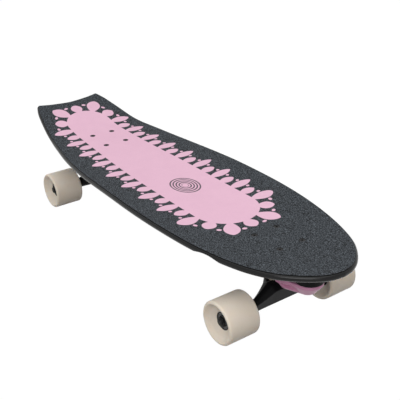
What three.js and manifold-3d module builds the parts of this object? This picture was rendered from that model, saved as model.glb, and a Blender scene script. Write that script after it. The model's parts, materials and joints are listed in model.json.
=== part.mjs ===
// Surf skateboard: a wide swallow-tail deck on a swing-arm front truck and a plain rear truck.
// Millimetres. +X points to the nose, +Y to the left, +Z up, and the wheels stand on z = 0.
import * as THREE from "three";
import { mergeVertices } from "three/addons/utils/BufferGeometryUtils.js";
import Module from "manifold-3d";

const wasm = await Module();
wasm.setup();

// Clearances
const seatGap = 0.3; // between faces that rest on each other
const fitGap = 0.08; // round a pin in its bore
const runGap = 0.6; // between faces that slide past each other
const cutOver = 4; // how far a cutting tool runs past what it cuts

// Deck
const deckLength = 791;
const deckWidth = 245;
const deckThickness = 8.8;
const deckEdgeRound = 4;
const tailTipSpan = 134; // from tip to tip of the swallow tail
const tailNotch = 12.5;
const rearTruckShare = 0.21871; // of the length, from the tail tips to the middle of the rear bolts
const truckSpacingShare = 0.618205; // of the length, between the middles of the two bolt patterns
const rockerRise = 4.6; // of the centre line from mid-board to a truck
const kickStart = 27; // behind the middle of the rear bolt pattern
const kickBend = 60;
const kickSlopeShare = 0.215;
const concaveDepth = 8.4;
const noseRise = 2.2; // of the tip above the run of the rocker
const noseRiseLength = 100;
const gripThickness = 0.8;
const gripInset = 3;

// Bolts through the deck
const boltSpacingLong = 53.98;
const boltSpacingWide = 41.28;
const boltRadius = 2.4;
const boltHeadRadius = 4.6;
const boltHeadDepth = 2.8;
const boltBeyondNut = 2;
const deckNutFlats = 8;
const deckNutHeight = 5;

// Wheels and bearings
const wheelDiameter = 65.2;
const wheelWidth = 52;
const wheelEdgeRound = 5;
const wheelRecess = 11.5; // from the outer face to the bearing
const wheelDish = 10.2; // depth of the cone that each face runs in to
const wheelDishRadius = 25.5; // where the cone starts
const wheelRecessMouth = 13.6; // where the cone ends
const wheelCoreRadius = 9;
const bearingRadius = 11;
const bearingWidth = 7;
const bearingSpacing = 10; // between the two bearings of a wheel
const bearingRace = 2.1; // width of a race's face
const bearingShieldStep = 0.6;
const axleRadius = 4;
const axleBeyondNut = 1.4;
const axleNutFlats = 13;
const axleNutHeight = 7;

// Hanger, the same casting on both trucks, measured from the axle's middle: out is away from mid-board
const hangerWidth = 165;
const hangerBeamSpan = 122;
const hangerEndRadius = 7.4;
const hangerShoulderRadius = 6.8;
const hangerRidge = 27; // top of the beam above the axle
const ringOut = -15.5; // middle of the bushing ring
const ringUp = 14;
const ringRadius = 17;
const ringBelow = 10;
const ringAbove = 10;
const ringWebHalf = 3.5;
const ringHoleRadius = 8;
const ringWall = 4.2;
const pivotTipOut = 24;
const pivotTipUp = 37;
const pivotTipRadius = 5.5;
const pivotStemRadius = 8.5;
const leanReliefShare = 1.3; // how much wider the opening under the ring is, for the lean
const kingpinLean = THREE.MathUtils.degToRad(12);

// Kingpin and its stack
const kingpinRadius = 4.75;
const kingpinHeadRadius = 8;
const kingpinHeadHeight = 6;
const kingpinNutFlats = 14;
const kingpinNutHeight = 9;
const kingpinBeyondNut = 2;
const bushingRadius = 12;
const bushingWaist = 1.4;
const upperBushingHeight = 14;
const lowerBushingHeight = 11.5;
const lowerBushingTip = 10;
const cupWasherHeight = 1.6;
const cupWasherRadius = 11.8;
const kingpinBossRadius = 12.4;
const pivotCupWall = 2;
const pivotCupMouth = 6;

// Front base and swing arm
const baseHeight = 29;
const baseFlange = 7;
const baseFlangeHalfLength = 38;
const baseFlangeHalfWidth = 28;
const baseFlangeCorner = 8;
const baseSpineHalfWidth = 12;
const baseSpineDraft = 2;
const baseRibWidth = 4;
const housingRadius = 20.5;
const housingDraft = 3;
const housingFloor = 6;
const housingWall = 4;
const swingPivotOut = 56.2; // in front of the axle
const swingPivotBeyondBolts = 38;
const armTopUp = 49.3; // above the axle
const armPlate = 7.7;
const armFrontUp = 31; // underside of the boss above the axle
const armHeelUp = 27; // underside of the block above the pivot stem
const armHeelOut = 18;
const armHalfWidth = 29;
const armHeelHalfWidth = 17;
const armShoulderShare = 0.25; // of the half width, over which the heel's flanks run straight
const armTailOut = -34;
const armTailHalfWidth = 22;
const armBossRadius = 19.6;
const armBossFootRadius = 11.5;
const armBossFootSet = 4; // how far the boss's foot lies behind the pivot
const armSidePocket = 3;
const armPocketLean = THREE.MathUtils.degToRad(30);
const bossOverlap = THREE.MathUtils.degToRad(15); // of a boss past a half circle, or short of it
const pivotPinRadius = 6;
const pivotPinSeat = 14; // length pressed into the arm
const pivotNutFlats = 19;
const pivotNutHeight = 8;
const thrustWasherRadius = 15;
const thrustWasherHeight = 1.6;
const springWire = 3.2;
const springMeanRadius = 13.6;
const springTurns = 4;
const springGap = 0.7;

// Rear baseplate and riser
const rearAxleOut = 26.9; // from the middle of the bolt pattern
const rearTruckHeight = 66; // from the baseplate's top to the axle
const rearPlate = 8;
const rearPlateHalfLength = 40;
const rearPlateHalfWidth = 27.5;
const rearPlateCorner = 7;
const rearPedestalRadius = 15.5;
const rearPivotHalfWidth = 14;
const rearPivotFoot = 11;
const rearPivotUp = 25;
const rearWebHalfWidth = 5;
const rearWebUp = 39;
const postCornerShare = 0.5; // of each side, taken off at the post's corners
const riserWindowHalfLength = 16;
const riserWindowHalfWidth = 13;

// Facets
const hexSides = 6;
const coarseSides = 8;
const bearingSides = 10;
const pinSides = 12;
const roundSides = 16;
const wheelSides = 24;
const sideRows = 26; // of the deck's grid, from a tail tip to the nose
const edgeTurns = [Math.PI / 4, Math.PI / 2]; // of the deck's rounded edge, from each face
const tipSteps = 4; // of the quarter round on the pivot tip
const cupSteps = 3;
const springTurnSteps = 12;
const springWireSides = 6;
const springGapSamples = 10; // points measured in each step of the wire

// Derived places
const tailX = -deckLength / 2;
const noseX = deckLength / 2;
const rearTruckX = tailX + rearTruckShare * deckLength;
const truckSpacing = truckSpacingShare * deckLength;
const frontTruckX = rearTruckX + truckSpacing;
const middleX = (rearTruckX + frontTruckX) / 2;
const truckTilt = Math.atan((4 * rockerRise) / truckSpacing);
const wheelRadius = wheelDiameter / 2;
const baseBottom = -(seatGap + baseHeight);
const frontAxleDrop = armTopUp + runGap - baseBottom;
const frontPivotX = boltSpacingLong / 2 + swingPivotBeyondBolts;
const frontAxleOut = frontPivotX - swingPivotOut;
const rideHeight =
  wheelRadius + frontAxleDrop * Math.cos(truckTilt) - frontAxleOut * Math.sin(truckTilt);
const rearAxleDrop =
  (rideHeight - wheelRadius + rearAxleOut * Math.sin(truckTilt)) / Math.cos(truckTilt);
const riserHeight = rearAxleDrop - rearTruckHeight - 2 * seatGap;
const deckLowest = rideHeight + deckThickness - rockerRise;
const gripTop = deckThickness + seatGap + gripThickness;
const innerBearingY = hangerWidth / 2 + seatGap;
const outerBearingY = innerBearingY + bearingWidth + bearingSpacing;
const wheelFaceY = outerBearingY + bearingWidth + wheelRecess;
const axleNutY = outerBearingY + bearingWidth + seatGap;
const axleHalf = axleNutY + axleNutHeight + axleBeyondNut;
const pivotReach = Math.hypot(pivotTipOut - ringOut, pivotTipUp - ringUp);
const steerRise = Math.atan2(pivotTipUp - ringUp, pivotTipOut - ringOut);
const upperBushingAt = ringWebHalf + seatGap;
const upperWasherAt = upperBushingAt + upperBushingHeight + seatGap;
const kingpinSeatAt = upperWasherAt + cupWasherHeight + seatGap;
const lowerBushingAt = -ringWebHalf - seatGap;
const lowerWasherAt = lowerBushingAt - lowerBushingHeight - seatGap;
const kingpinNutAt = lowerWasherAt - cupWasherHeight - seatGap;
const kingpinEndAt = kingpinNutAt - kingpinNutHeight - kingpinBeyondNut;

// Half outline of the deck, from the middle of the tail notch round a tail tip to the nose:
// shares of the notch and the tip span at the tail, then shares of the length and the width.
const tailEdgeShares = [
  [1, 0],
  [0.9, 0.17],
  [0.55, 0.5],
  [0.18, 0.8],
  [0, 0.945],
  [0.15, 1.0],
];
const sideShares = [
  [0.009, 0.569],
  [0.03, 0.618],
  [0.065, 0.67],
  [0.105, 0.72],
  [0.145, 0.762],
  [0.195, 0.818],
  [0.265, 0.892],
  [0.355, 0.952],
  [0.455, 0.984],
  [0.56, 1.0],
  [0.655, 0.987],
  [0.74, 0.944],
  [0.805, 0.878],
  [0.858, 0.793],
  [0.9, 0.695],
  [0.935, 0.578],
  [0.963, 0.435],
  [0.984, 0.286],
  [0.996, 0.142],
  [1, 0],
];
// Where the concave starts, is full, starts to fade and ends: shares of the truck spacing.
const concaveShares = [0.04, 0.52, 0.69, 1.35];
const tailFadeShare = 0.16; // of the side, over which the rows straighten from the notch

// Cross-sections of the hanger's beam, out and up: at its ends as shares of the end radius,
// at its middle as shares of the ridge's height.
const beamEndShares = [
  [-0.4, -1.13],
  [0.3, -1.13],
  [1.02, 0.6],
  [0.5, 1.1],
  [-0.35, 1.1],
  [-0.6, 0.6],
  [-0.7, -0.5],
];
const beamMiddleShares = [
  [-0.22, -0.31],
  [0.07, -0.31],
  [0.42, 0.68],
  [0.15, 0.96],
  [-0.2, 1],
  [-0.62, 0.74],
  [-0.5, -0.07],
];
const beamStationShares = [-1.13, -1, -0.82, -0.64, -0.5, -0.36, 0.36, 0.5, 0.64, 0.82, 1, 1.13];
const beamYokeShare = 0.36; // of the beam's span, over which the middle keeps its section
const beamSwell = 1.45; // how late the wings rise towards the yoke

// Geometry helpers

// A closed body whose shared vertices are merged and whose faces point out.
function closedBody(geometry) {
  const bare = geometry.clone();
  bare.deleteAttribute("normal");
  bare.deleteAttribute("uv");
  bare.clearGroups();
  const merged = mergeVertices(bare);
  const at = merged.getAttribute("position");
  const old = merged.index.array;
  const index = [];
  let volume = 0;
  const corner = (i) => new THREE.Vector3().fromBufferAttribute(at, i);
  for (let i = 0; i < old.length; i += 3) {
    const [a, b, c] = [old[i], old[i + 1], old[i + 2]];
    if (a === b || b === c || c === a) continue;
    index.push(a, b, c);
    volume += corner(a).dot(corner(b).cross(corner(c)));
  }
  if (volume < 0) index.reverse();
  merged.setIndex(index);
  return merged;
}

function toSolid(geometry) {
  const body = closedBody(geometry);
  const vertProperties = new Float32Array(body.getAttribute("position").array);
  const triVerts = new Uint32Array(body.index.array);
  return new wasm.Manifold(new wasm.Mesh({ numProp: 3, vertProperties, triVerts }));
}

function fromSolid(solid) {
  const mesh = solid.getMesh();
  const geometry = new THREE.BufferGeometry();
  geometry.setAttribute("position", new THREE.BufferAttribute(mesh.vertProperties, 3));
  geometry.setIndex(new THREE.BufferAttribute(mesh.triVerts, 1));
  return geometry;
}

function joined(...geometries) {
  return fromSolid(geometries.map(toSolid).reduce((whole, next) => whole.add(next)));
}

function cut(geometry, ...tools) {
  return fromSolid(tools.map(toSolid).reduce((rest, tool) => rest.subtract(tool), toSolid(geometry)));
}

// A body turned about Z from points of radius and height; the profile starts and ends on the axis.
function turned(points, sides = roundSides) {
  const profile = points.map(([radius, height]) => new THREE.Vector2(radius, height));
  return new THREE.LatheGeometry(profile, sides).rotateX(Math.PI / 2);
}

// A body with a bore, turned about Z from a profile that closes on itself.
function turnedRing(points, sides = roundSides) {
  return turned([...points, points[0]], sides);
}

function rod(radius, from, to, sides = pinSides) {
  return turned([[0, from], [radius, from], [radius, to], [0, to]], sides);
}

// Points of a quarter circle, as radius and height, from its side at the given height to its top.
function quarterRound(radius, height, steps) {
  const points = [];
  for (let i = 0; i <= steps; i += 1) {
    const turn = ((i / steps) * Math.PI) / 2;
    points.push([radius * Math.cos(turn), height + radius * Math.sin(turn)]);
  }
  return points;
}

// Corner radius of a bore with flat facets that still clears a pin of the given radius.
function boreRadius(pinRadius, sides = pinSides) {
  return (pinRadius + fitGap) / Math.cos(Math.PI / sides);
}

// A skin over a stack of outlines that have the same number of points each.
function lofted(outlines) {
  const count = outlines[0].length;
  const points = outlines.flat();
  const faces = [];
  for (let layer = 0; layer + 1 < outlines.length; layer += 1) {
    for (let i = 0; i < count; i += 1) {
      const a = layer * count + i;
      const b = layer * count + ((i + 1) % count);
      faces.push(a, b, b + count, a, b + count, a + count);
    }
  }
  for (const [start, flip] of [[0, true], [points.length - count, false]]) {
    const middle = new THREE.Vector3();
    for (let i = 0; i < count; i += 1) middle.addScaledVector(points[start + i], 1 / count);
    points.push(middle);
    for (let i = 0; i < count; i += 1) {
      const edge = [start + i, start + ((i + 1) % count)];
      if (flip) edge.reverse();
      faces.push(...edge, points.length - 1);
    }
  }
  return new THREE.BufferGeometry().setFromPoints(points).setIndex(faces);
}

function flatOutline(points, height) {
  return points.map(([x, y]) => new THREE.Vector3(x, y, height));
}

// An arc round a place on the X axis, longer than a half circle by the overlap at both ends.
function bossArc(centreX, radius, overlap) {
  const points = [];
  for (let i = 0; i <= coarseSides; i += 1) {
    const turn = ((i / coarseSides) * 2 - 1) * (Math.PI / 2 + overlap);
    points.push([centreX + radius * Math.cos(turn), radius * Math.sin(turn)]);
  }
  return points;
}

function roundedPlate(halfLength, halfWidth, corner, from, to) {
  const shape = new THREE.Shape();
  const [x, y] = [halfLength - corner, halfWidth - corner];
  shape.absarc(x, y, corner, 0, Math.PI / 2);
  shape.absarc(-x, y, corner, Math.PI / 2, Math.PI);
  shape.absarc(-x, -y, corner, Math.PI, 1.5 * Math.PI);
  shape.absarc(x, -y, corner, 1.5 * Math.PI, 2 * Math.PI);
  return extruded(shape, from, to);
}

function extruded(shape, from, to, curveSegments = 4) {
  const settings = { depth: to - from, bevelEnabled: false, curveSegments };
  return new THREE.ExtrudeGeometry(shape, settings).translate(0, 0, from);
}

function block(fromX, toX, halfWidth, from, to) {
  const box = new THREE.BoxGeometry(toX - fromX, 2 * halfWidth, to - from);
  return box.translate((fromX + toX) / 2, 0, (from + to) / 2);
}

function hexNut(flats, height, pinRadius) {
  const shape = new THREE.Shape();
  const radius = flats / Math.sqrt(3);
  for (let i = 0; i < hexSides; i += 1) {
    const angle = (i / hexSides) * 2 * Math.PI;
    shape[i ? "lineTo" : "moveTo"](radius * Math.cos(angle), radius * Math.sin(angle));
  }
  const hole = new THREE.Path();
  hole.absarc(0, 0, boreRadius(pinRadius, coarseSides), 0, 2 * Math.PI, true);
  shape.holes.push(hole);
  return extruded(shape, 0, height, coarseSides / 2);
}

// Frames

function placed(parent, x, y, z, turn = [0, 0, 0]) {
  const frame = new THREE.Group();
  frame.position.set(x, y, z);
  frame.rotation.set(...turn, "ZYX");
  parent.add(frame);
  return frame;
}

// A geometry moved from a frame that leans about Y into the frame that holds it.
function leaned(geometry, x, z, lean) {
  return geometry.rotateY(lean).translate(x, 0, z);
}

function onKingpin(geometry) {
  return leaned(geometry, ringOut, ringUp, kingpinLean);
}

function onSteerAxis(geometry) {
  return leaned(geometry, ringOut, ringUp, Math.PI / 2 - steerRise);
}

// Materials

function finish(color, roughness, metalness) {
  return { color, roughness, metalness };
}

const finishes = {
  wood: finish(0x17171a, 0.3, 0),
  grip: finish(0x4a4d50, 0.95, 0),
  blackMetal: finish(0x101012, 0.4, 0.6),
  armPaint: finish(0xd79fbd, 0.4, 0.1),
  steel: finish(0x9a9c9e, 0.35, 1),
  darkSteel: finish(0x26262a, 0.4, 1),
  urethane: finish(0xd8cdc0, 0.45, 0),
  bushing: finish(0x5a3a22, 0.5, 0),
  plastic: finish(0x1c1c1e, 0.6, 0),
};

const board = new THREE.Group();

function piece(name, parent, geometry, look) {
  const mesh = new THREE.Mesh(closedBody(geometry), new THREE.MeshStandardMaterial(finishes[look]));
  mesh.name = name;
  parent.add(mesh);
  return mesh;
}

// Deck form

function easedStep(from, to, x) {
  const t = THREE.MathUtils.clamp((x - from) / (to - from), 0, 1);
  return t * t * (3 - 2 * t);
}

// Top of the wood: a shallow rocker between the trucks, a kicked tail and a concave in the middle.
function deckTopAt(x, y) {
  const along = (x - middleX) / (truckSpacing / 2);
  const behind = Math.max(0, rearTruckX - kickStart - x);
  const bent = Math.min(behind, kickBend);
  const kick = kickSlopeShare * ((bent * bent) / (2 * kickBend) + behind - bent);
  const [rise, full, fade, end] = concaveShares.map((share) => rearTruckX + share * truckSpacing);
  const concave = concaveDepth * easedStep(rise, full, x) * (1 - easedStep(fade, end, x));
  const nose = noseRise * easedStep(noseX - noseRiseLength, noseX, x);
  return deckLowest + rockerRise * along * along + kick + nose + concave * ((2 * y) / deckWidth) ** 2;
}

function halfOutline() {
  const tail = tailEdgeShares.map(
    ([deep, wide]) => new THREE.Vector2(tailX + deep * tailNotch, (wide * tailTipSpan) / 2),
  );
  const side = sideShares.map(
    ([along, wide]) => new THREE.Vector2(tailX + along * deckLength, (wide * deckWidth) / 2),
  );
  return new THREE.SplineCurve([...tail, ...side]);
}

// Points of a stretch of the outline pulled in by inset, each with the direction that points outwards.
function rimPoints(curve, from, to, steps, inset) {
  const points = [];
  for (let i = 0; i <= steps; i += 1) {
    const t = from + ((to - from) * i) / steps;
    const tangent = curve.getTangent(t);
    const out = new THREE.Vector2(-tangent.y, tangent.x);
    if (t === 0) out.set(-1, 0);
    if (t === 1) out.set(1, 0);
    points.push({ at: curve.getPoint(t).addScaledVector(out, -inset), out });
  }
  return points;
}

// Places on a sheet, in rows from the right edge to the left one, and the loop round its rim.
// An entry of the loop is a place's index and the direction that points outwards there.
function sheetGrid(inset) {
  const curve = halfOutline();
  const corner = tailEdgeShares.length - 1;
  const tipShare = corner / (curve.points.length - 1);
  const tail = rimPoints(curve, 0, tipShare, corner, inset);
  const side = rimPoints(curve, tipShare, 1, sideRows, inset);
  const tip = side[0].at;
  const fadeRows = tailFadeShare * side.length;
  const rowWidth = 2 * corner + 1;
  const places = [];
  for (let row = 0; row < side.length; row += 1) {
    const fade = Math.max(0, 1 - row / fadeRows) ** 2;
    for (let column = -corner; column <= corner; column += 1) {
      const edge = tail[Math.abs(column)].at;
      const x = side[row].at.x + (edge.x - tip.x) * fade;
      const y = Math.sign(column) * (edge.y / tip.y) * side[row].at.y;
      places.push([x, row === side.length - 1 ? 0 : y]);
    }
  }
  const loop = [];
  for (let column = -corner; column <= corner; column += 1) {
    const { out } = tail[Math.abs(column)];
    loop.push([corner + column, out.x, out.y * Math.sign(column)]);
  }
  for (let row = 1; row < side.length; row += 1) {
    loop.push([row * rowWidth + 2 * corner, side[row].out.x, side[row].out.y]);
  }
  for (let row = side.length - 2; row > 0; row -= 1) {
    loop.push([row * rowWidth, side[row].out.x, -side[row].out.y]);
  }
  return { places, loop, rowWidth };
}

// How far each band of a rounded rim reaches out, and how deep it lies below the top.
function rimBands(thickness, round) {
  if (!round) return [];
  const upper = edgeTurns.map((turn) => [round * Math.sin(turn), round * (1 - Math.cos(turn))]);
  const lower = upper.toReversed().map(([reach, drop]) => [reach, thickness - drop]);
  return [...upper, ...lower];
}

// Top and bottom faces over two like grids of count places each.
function gridFaces(count, rowWidth) {
  const faces = [];
  for (let a = 0; a + rowWidth < count; a += 1) {
    if ((a + 1) % rowWidth === 0) continue;
    const quad = [a, a + rowWidth, a + rowWidth + 1, a, a + rowWidth + 1, a + 1];
    faces.push(...quad);
    faces.push(...quad.map((i) => i + count).reverse());
  }
  return faces;
}

// A sheet that follows the deck's top, lift above it, with its edge rounded by round at both faces.
function boardSheet(inset, lift, thickness, round) {
  const { places, loop, rowWidth } = sheetGrid(inset + round);
  const points = [];
  const addPoint = (x, y, below) => {
    points.push(new THREE.Vector3(x, y, deckTopAt(x, y) + lift + thickness - below));
    return points.length - 1;
  };
  for (const below of [0, thickness]) {
    for (const [x, y] of places) addPoint(x, y, below);
  }
  const bands = [loop.map(([i]) => i)];
  for (const [reach, drop] of rimBands(thickness, round)) {
    const atRim = ([i, x, y]) => addPoint(places[i][0] + reach * x, places[i][1] + reach * y, drop);
    bands.push(loop.map(atRim));
  }
  bands.push(loop.map(([i]) => i + places.length));
  const faces = gridFaces(places.length, rowWidth);
  for (let band = 0; band + 1 < bands.length; band += 1) {
    const [upper, lower] = [bands[band], bands[band + 1]];
    for (let i = 0; i < loop.length; i += 1) {
      const next = (i + 1) % loop.length;
      faces.push(upper[i], upper[next], lower[next], upper[i], lower[next], lower[i]);
    }
  }
  return new THREE.BufferGeometry().setFromPoints(points).setIndex(faces);
}

// Trucks: each stands in a frame at the middle of its bolt pattern on the deck's underside,
// with +X away from mid-board and +Z square to the deck.

const truckFrames = {
  front: placed(board, frontTruckX, 0, rideHeight, [0, -truckTilt, 0]),
  rear: placed(board, rearTruckX, 0, rideHeight, [0, -truckTilt, Math.PI]),
};
const truckSpecs = {
  front: { axleOut: frontAxleOut, axleDrop: frontAxleDrop, clamped: baseFlange, headTop: armTopUp },
  rear: {
    axleOut: rearAxleOut,
    axleDrop: rearAxleDrop,
    clamped: riserHeight + seatGap + rearPlate,
    headTop: rearTruckHeight,
  },
};

function boltPlaces() {
  const [x, y] = [boltSpacingLong / 2, boltSpacingWide / 2];
  return [[-x, -y], [-x, y], [x, -y], [x, y]];
}

// Clearance holes for the four bolts between two heights of a truck's frame.
function boltHoles(from, to) {
  const radius = boreRadius(boltRadius, coarseSides);
  return boltPlaces().map(([x, y]) => rod(radius, from, to, coarseSides).translate(x, y, 0));
}

function deckHoleTools() {
  const tools = [];
  const throat = boreRadius(boltRadius, coarseSides);
  const mouth = boltHeadRadius + 2 * fitGap;
  const top = gripTop;
  const profile = [
    [0, -cutOver],
    [throat, -cutOver],
    [throat, top - boltHeadDepth - fitGap],
    [mouth, top - fitGap],
    [mouth, top + cutOver],
    [0, top + cutOver],
  ];
  for (const frame of Object.values(truckFrames)) {
    frame.updateMatrixWorld(true);
    for (const [x, y] of boltPlaces()) {
      tools.push(turned(profile, coarseSides).translate(x, y, 0).applyMatrix4(frame.matrixWorld));
    }
  }
  return tools;
}

function buildDeck() {
  const holes = deckHoleTools();
  const wood = boardSheet(0, -deckThickness, deckThickness, deckEdgeRound);
  const grip = boardSheet(gripInset, seatGap, gripThickness, 0);
  piece("deck_board", board, cut(wood, ...holes), "wood");
  piece("grip_sheet", board, cut(grip, ...holes), "grip");
}

function deckBolt(end) {
  const neck = gripTop - boltHeadDepth;
  const profile = [[0, end], [boltRadius, end], [boltRadius, neck], [boltHeadRadius, gripTop], [0, gripTop]];
  return turned(profile, coarseSides);
}

function buildDeckBolts(side) {
  const nutTop = -(truckSpecs[side].clamped + 2 * seatGap);
  const nutBottom = nutTop - deckNutHeight;
  boltPlaces().forEach(([x, y], i) => {
    const at = placed(truckFrames[side], x, y, 0);
    piece(`${side}_deck_bolt_${i + 1}`, at, deckBolt(nutBottom - boltBeyondNut), "darkSteel");
    const nut = hexNut(deckNutFlats, deckNutHeight, boltRadius).translate(0, 0, nutBottom);
    piece(`${side}_deck_nut_${i + 1}`, at, nut, "steel");
  });
}

// Hanger

// Past its ends the beam shrinks to the shoulder that the bearings run up to.
function beamOutline(share) {
  const away = Math.abs(share);
  const rise = THREE.MathUtils.clamp((1 - away) / (1 - beamYokeShare), 0, 1) ** beamSwell;
  const end = away > 1 ? hangerShoulderRadius : hangerEndRadius;
  const y = (share * hangerBeamSpan) / 2;
  return beamEndShares.map(([out, up], i) => {
    const [midOut, midUp] = beamMiddleShares[i].map((part) => part * hangerRidge);
    const x = THREE.MathUtils.lerp(out * end, midOut, rise);
    return new THREE.Vector3(x, y, THREE.MathUtils.lerp(up * end, midUp, rise));
  });
}

function hangerShoulder(side) {
  const shoulder = rod(hangerShoulderRadius, hangerBeamSpan / 2, hangerWidth / 2, roundSides);
  return shoulder.rotateX((-side * Math.PI) / 2);
}

// The stem from the ring to the round tip that turns in the pivot cup.
function pivotStem() {
  const neck = pivotReach - pivotCupMouth - seatGap;
  const root = ringRadius / 2;
  const tip = quarterRound(pivotTipRadius, pivotReach, tipSteps);
  return turned([[0, root], [pivotStemRadius, root], [pivotTipRadius, neck], ...tip], pinSides);
}

function hangerBody() {
  const chamfer = ringWall / 3;
  const ring = [
    [0, -ringBelow],
    [ringRadius - chamfer, -ringBelow],
    [ringRadius, chamfer - ringBelow],
    [ringRadius, ringAbove],
    [0, ringAbove],
  ];
  const seat = ringRadius - ringWall;
  const whole = joined(
    lofted(beamStationShares.map(beamOutline)),
    hangerShoulder(-1),
    hangerShoulder(1),
    onKingpin(turned(ring)),
    onSteerAxis(pivotStem()),
  );
  return cut(
    whole,
    onKingpin(rod(seat, ringWebHalf, kingpinSeatAt, roundSides)),
    onKingpin(rod(ringRadius - ringWall / 2, ringAbove, pivotReach, roundSides)),
    onKingpin(rod(seat, -2 * ringRadius, -ringWebHalf, roundSides)),
    onKingpin(rod(seat, -2 * ringRadius, -ringBelow, roundSides).scale(1, leanReliefShare, 1)),
    onKingpin(rod(ringHoleRadius, -ringRadius, ringRadius)),
    rod(boreRadius(axleRadius), -hangerWidth, hangerWidth).rotateX(-Math.PI / 2),
  );
}

// Kingpin stack, along the kingpin from the middle of the ring

function upperBushing() {
  const [bore, middle] = [boreRadius(kingpinRadius), upperBushingHeight / 2];
  const profile = [
    [bore, 0],
    [bushingRadius, 0],
    [bushingRadius, middle - bushingWaist],
    [bushingRadius - bushingWaist, middle],
    [bushingRadius - bushingWaist / 2, upperBushingHeight],
    [bore, upperBushingHeight],
  ];
  return turnedRing(profile, pinSides);
}

function lowerBushing() {
  const bore = boreRadius(kingpinRadius);
  const profile = [
    [bore, -lowerBushingHeight],
    [lowerBushingTip, -lowerBushingHeight],
    [bushingRadius, -bushingWaist],
    [bushingRadius, 0],
    [bore, 0],
  ];
  return turnedRing(profile, pinSides);
}

// A flat ring about Z that fits round a pin.
function washer(outer, pinRadius, from, to) {
  const bore = boreRadius(pinRadius);
  return turnedRing([[bore, from], [outer, from], [outer, to], [bore, to]], pinSides);
}

// The middle of the kingpin's head lies low enough to keep its tilted rim under the face above it.
function kingpinHeadAt(headTop) {
  const sunk = kingpinHeadRadius * Math.sin(kingpinLean) + runGap;
  return (headTop - ringUp - sunk) / Math.cos(kingpinLean) - kingpinHeadHeight;
}

function kingpin(headAt) {
  const head = rod(kingpinHeadRadius, headAt, headAt + kingpinHeadHeight, hexSides);
  return joined(rod(kingpinRadius, kingpinEndAt, headAt + kingpinHeadHeight / 2), head);
}

function pivotCup() {
  const inner = pivotTipRadius + seatGap;
  const outer = inner + pivotCupWall;
  const bottom = inner + pivotCupWall / 2;
  const profile = [
    [0, bottom],
    [inner, bottom],
    [outer, inner / 2],
    [outer, -pivotCupMouth],
    [inner, -pivotCupMouth],
    ...quarterRound(inner, 0, cupSteps),
  ];
  return turned(profile, pinSides);
}

// The hole that takes the pivot cup, in the axle's frame.
function pivotCupHole(reach) {
  const inner = pivotTipRadius + seatGap;
  const outer = boreRadius(inner + pivotCupWall);
  const bottom = inner + pivotCupWall / 2 + seatGap;
  const profile = [
    [0, bottom],
    [inner + fitGap, bottom],
    [outer, inner / 2 + seatGap],
    [outer, -reach],
    [0, -reach],
  ];
  return leaned(turned(profile, pinSides), pivotTipOut, pivotTipUp, Math.PI / 2 - steerRise);
}

function kingpinTools(headTop) {
  const headAt = kingpinHeadAt(headTop);
  return [
    onKingpin(rod(boreRadius(kingpinRadius), ringWebHalf, headAt + kingpinHeadHeight)),
    onKingpin(rod(kingpinHeadRadius + seatGap, headAt - seatGap, headTop + cutOver, roundSides)),
  ];
}

function buildHanger(side, axleFrame) {
  piece(`${side}_hanger`, axleFrame, hangerBody(), "blackMetal");
  const axle = rod(axleRadius, -axleHalf, axleHalf).rotateX(-Math.PI / 2);
  piece(`${side}_axle`, axleFrame, axle, "steel");
  const cup = placed(axleFrame, pivotTipOut, 0, pivotTipUp, [0, Math.PI / 2 - steerRise, 0]);
  piece(`${side}_pivot_cup`, cup, pivotCup(), "plastic");
  buildKingpin(side, placed(axleFrame, ringOut, 0, ringUp, [0, kingpinLean, 0]));
}

function buildKingpin(side, pin) {
  const nut = hexNut(kingpinNutFlats, kingpinNutHeight, kingpinRadius);
  const upper = washer(cupWasherRadius, kingpinRadius, upperWasherAt, upperWasherAt + cupWasherHeight);
  const lower = washer(cupWasherRadius, kingpinRadius, lowerWasherAt - cupWasherHeight, lowerWasherAt);
  piece(`${side}_kingpin`, pin, kingpin(kingpinHeadAt(truckSpecs[side].headTop)), "steel");
  piece(`${side}_kingpin_nut`, pin, nut.translate(0, 0, kingpinNutAt - kingpinNutHeight), "steel");
  piece(`${side}_bushing_upper`, pin, upperBushing().translate(0, 0, upperBushingAt), "bushing");
  piece(`${side}_bushing_lower`, pin, lowerBushing().translate(0, 0, lowerBushingAt), "bushing");
  piece(`${side}_washer_upper`, pin, upper, "steel");
  piece(`${side}_washer_lower`, pin, lower, "steel");
}

// Front base: a bolted flange, a spine and the round housing of the swing pivot

function housingOutline(radius, halfWidth, heelX, height) {
  const arc = bossArc(frontPivotX, radius, bossOverlap);
  return flatOutline([[heelX, -halfWidth], ...arc, [heelX, halfWidth]], height);
}

function spineOutline(halfWidth, endX, height) {
  const corners = [[endX, -1], [frontPivotX, -1], [frontPivotX, 1], [endX, 1]];
  return flatOutline(corners.map(([x, side]) => [x, side * halfWidth]), height);
}

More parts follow.
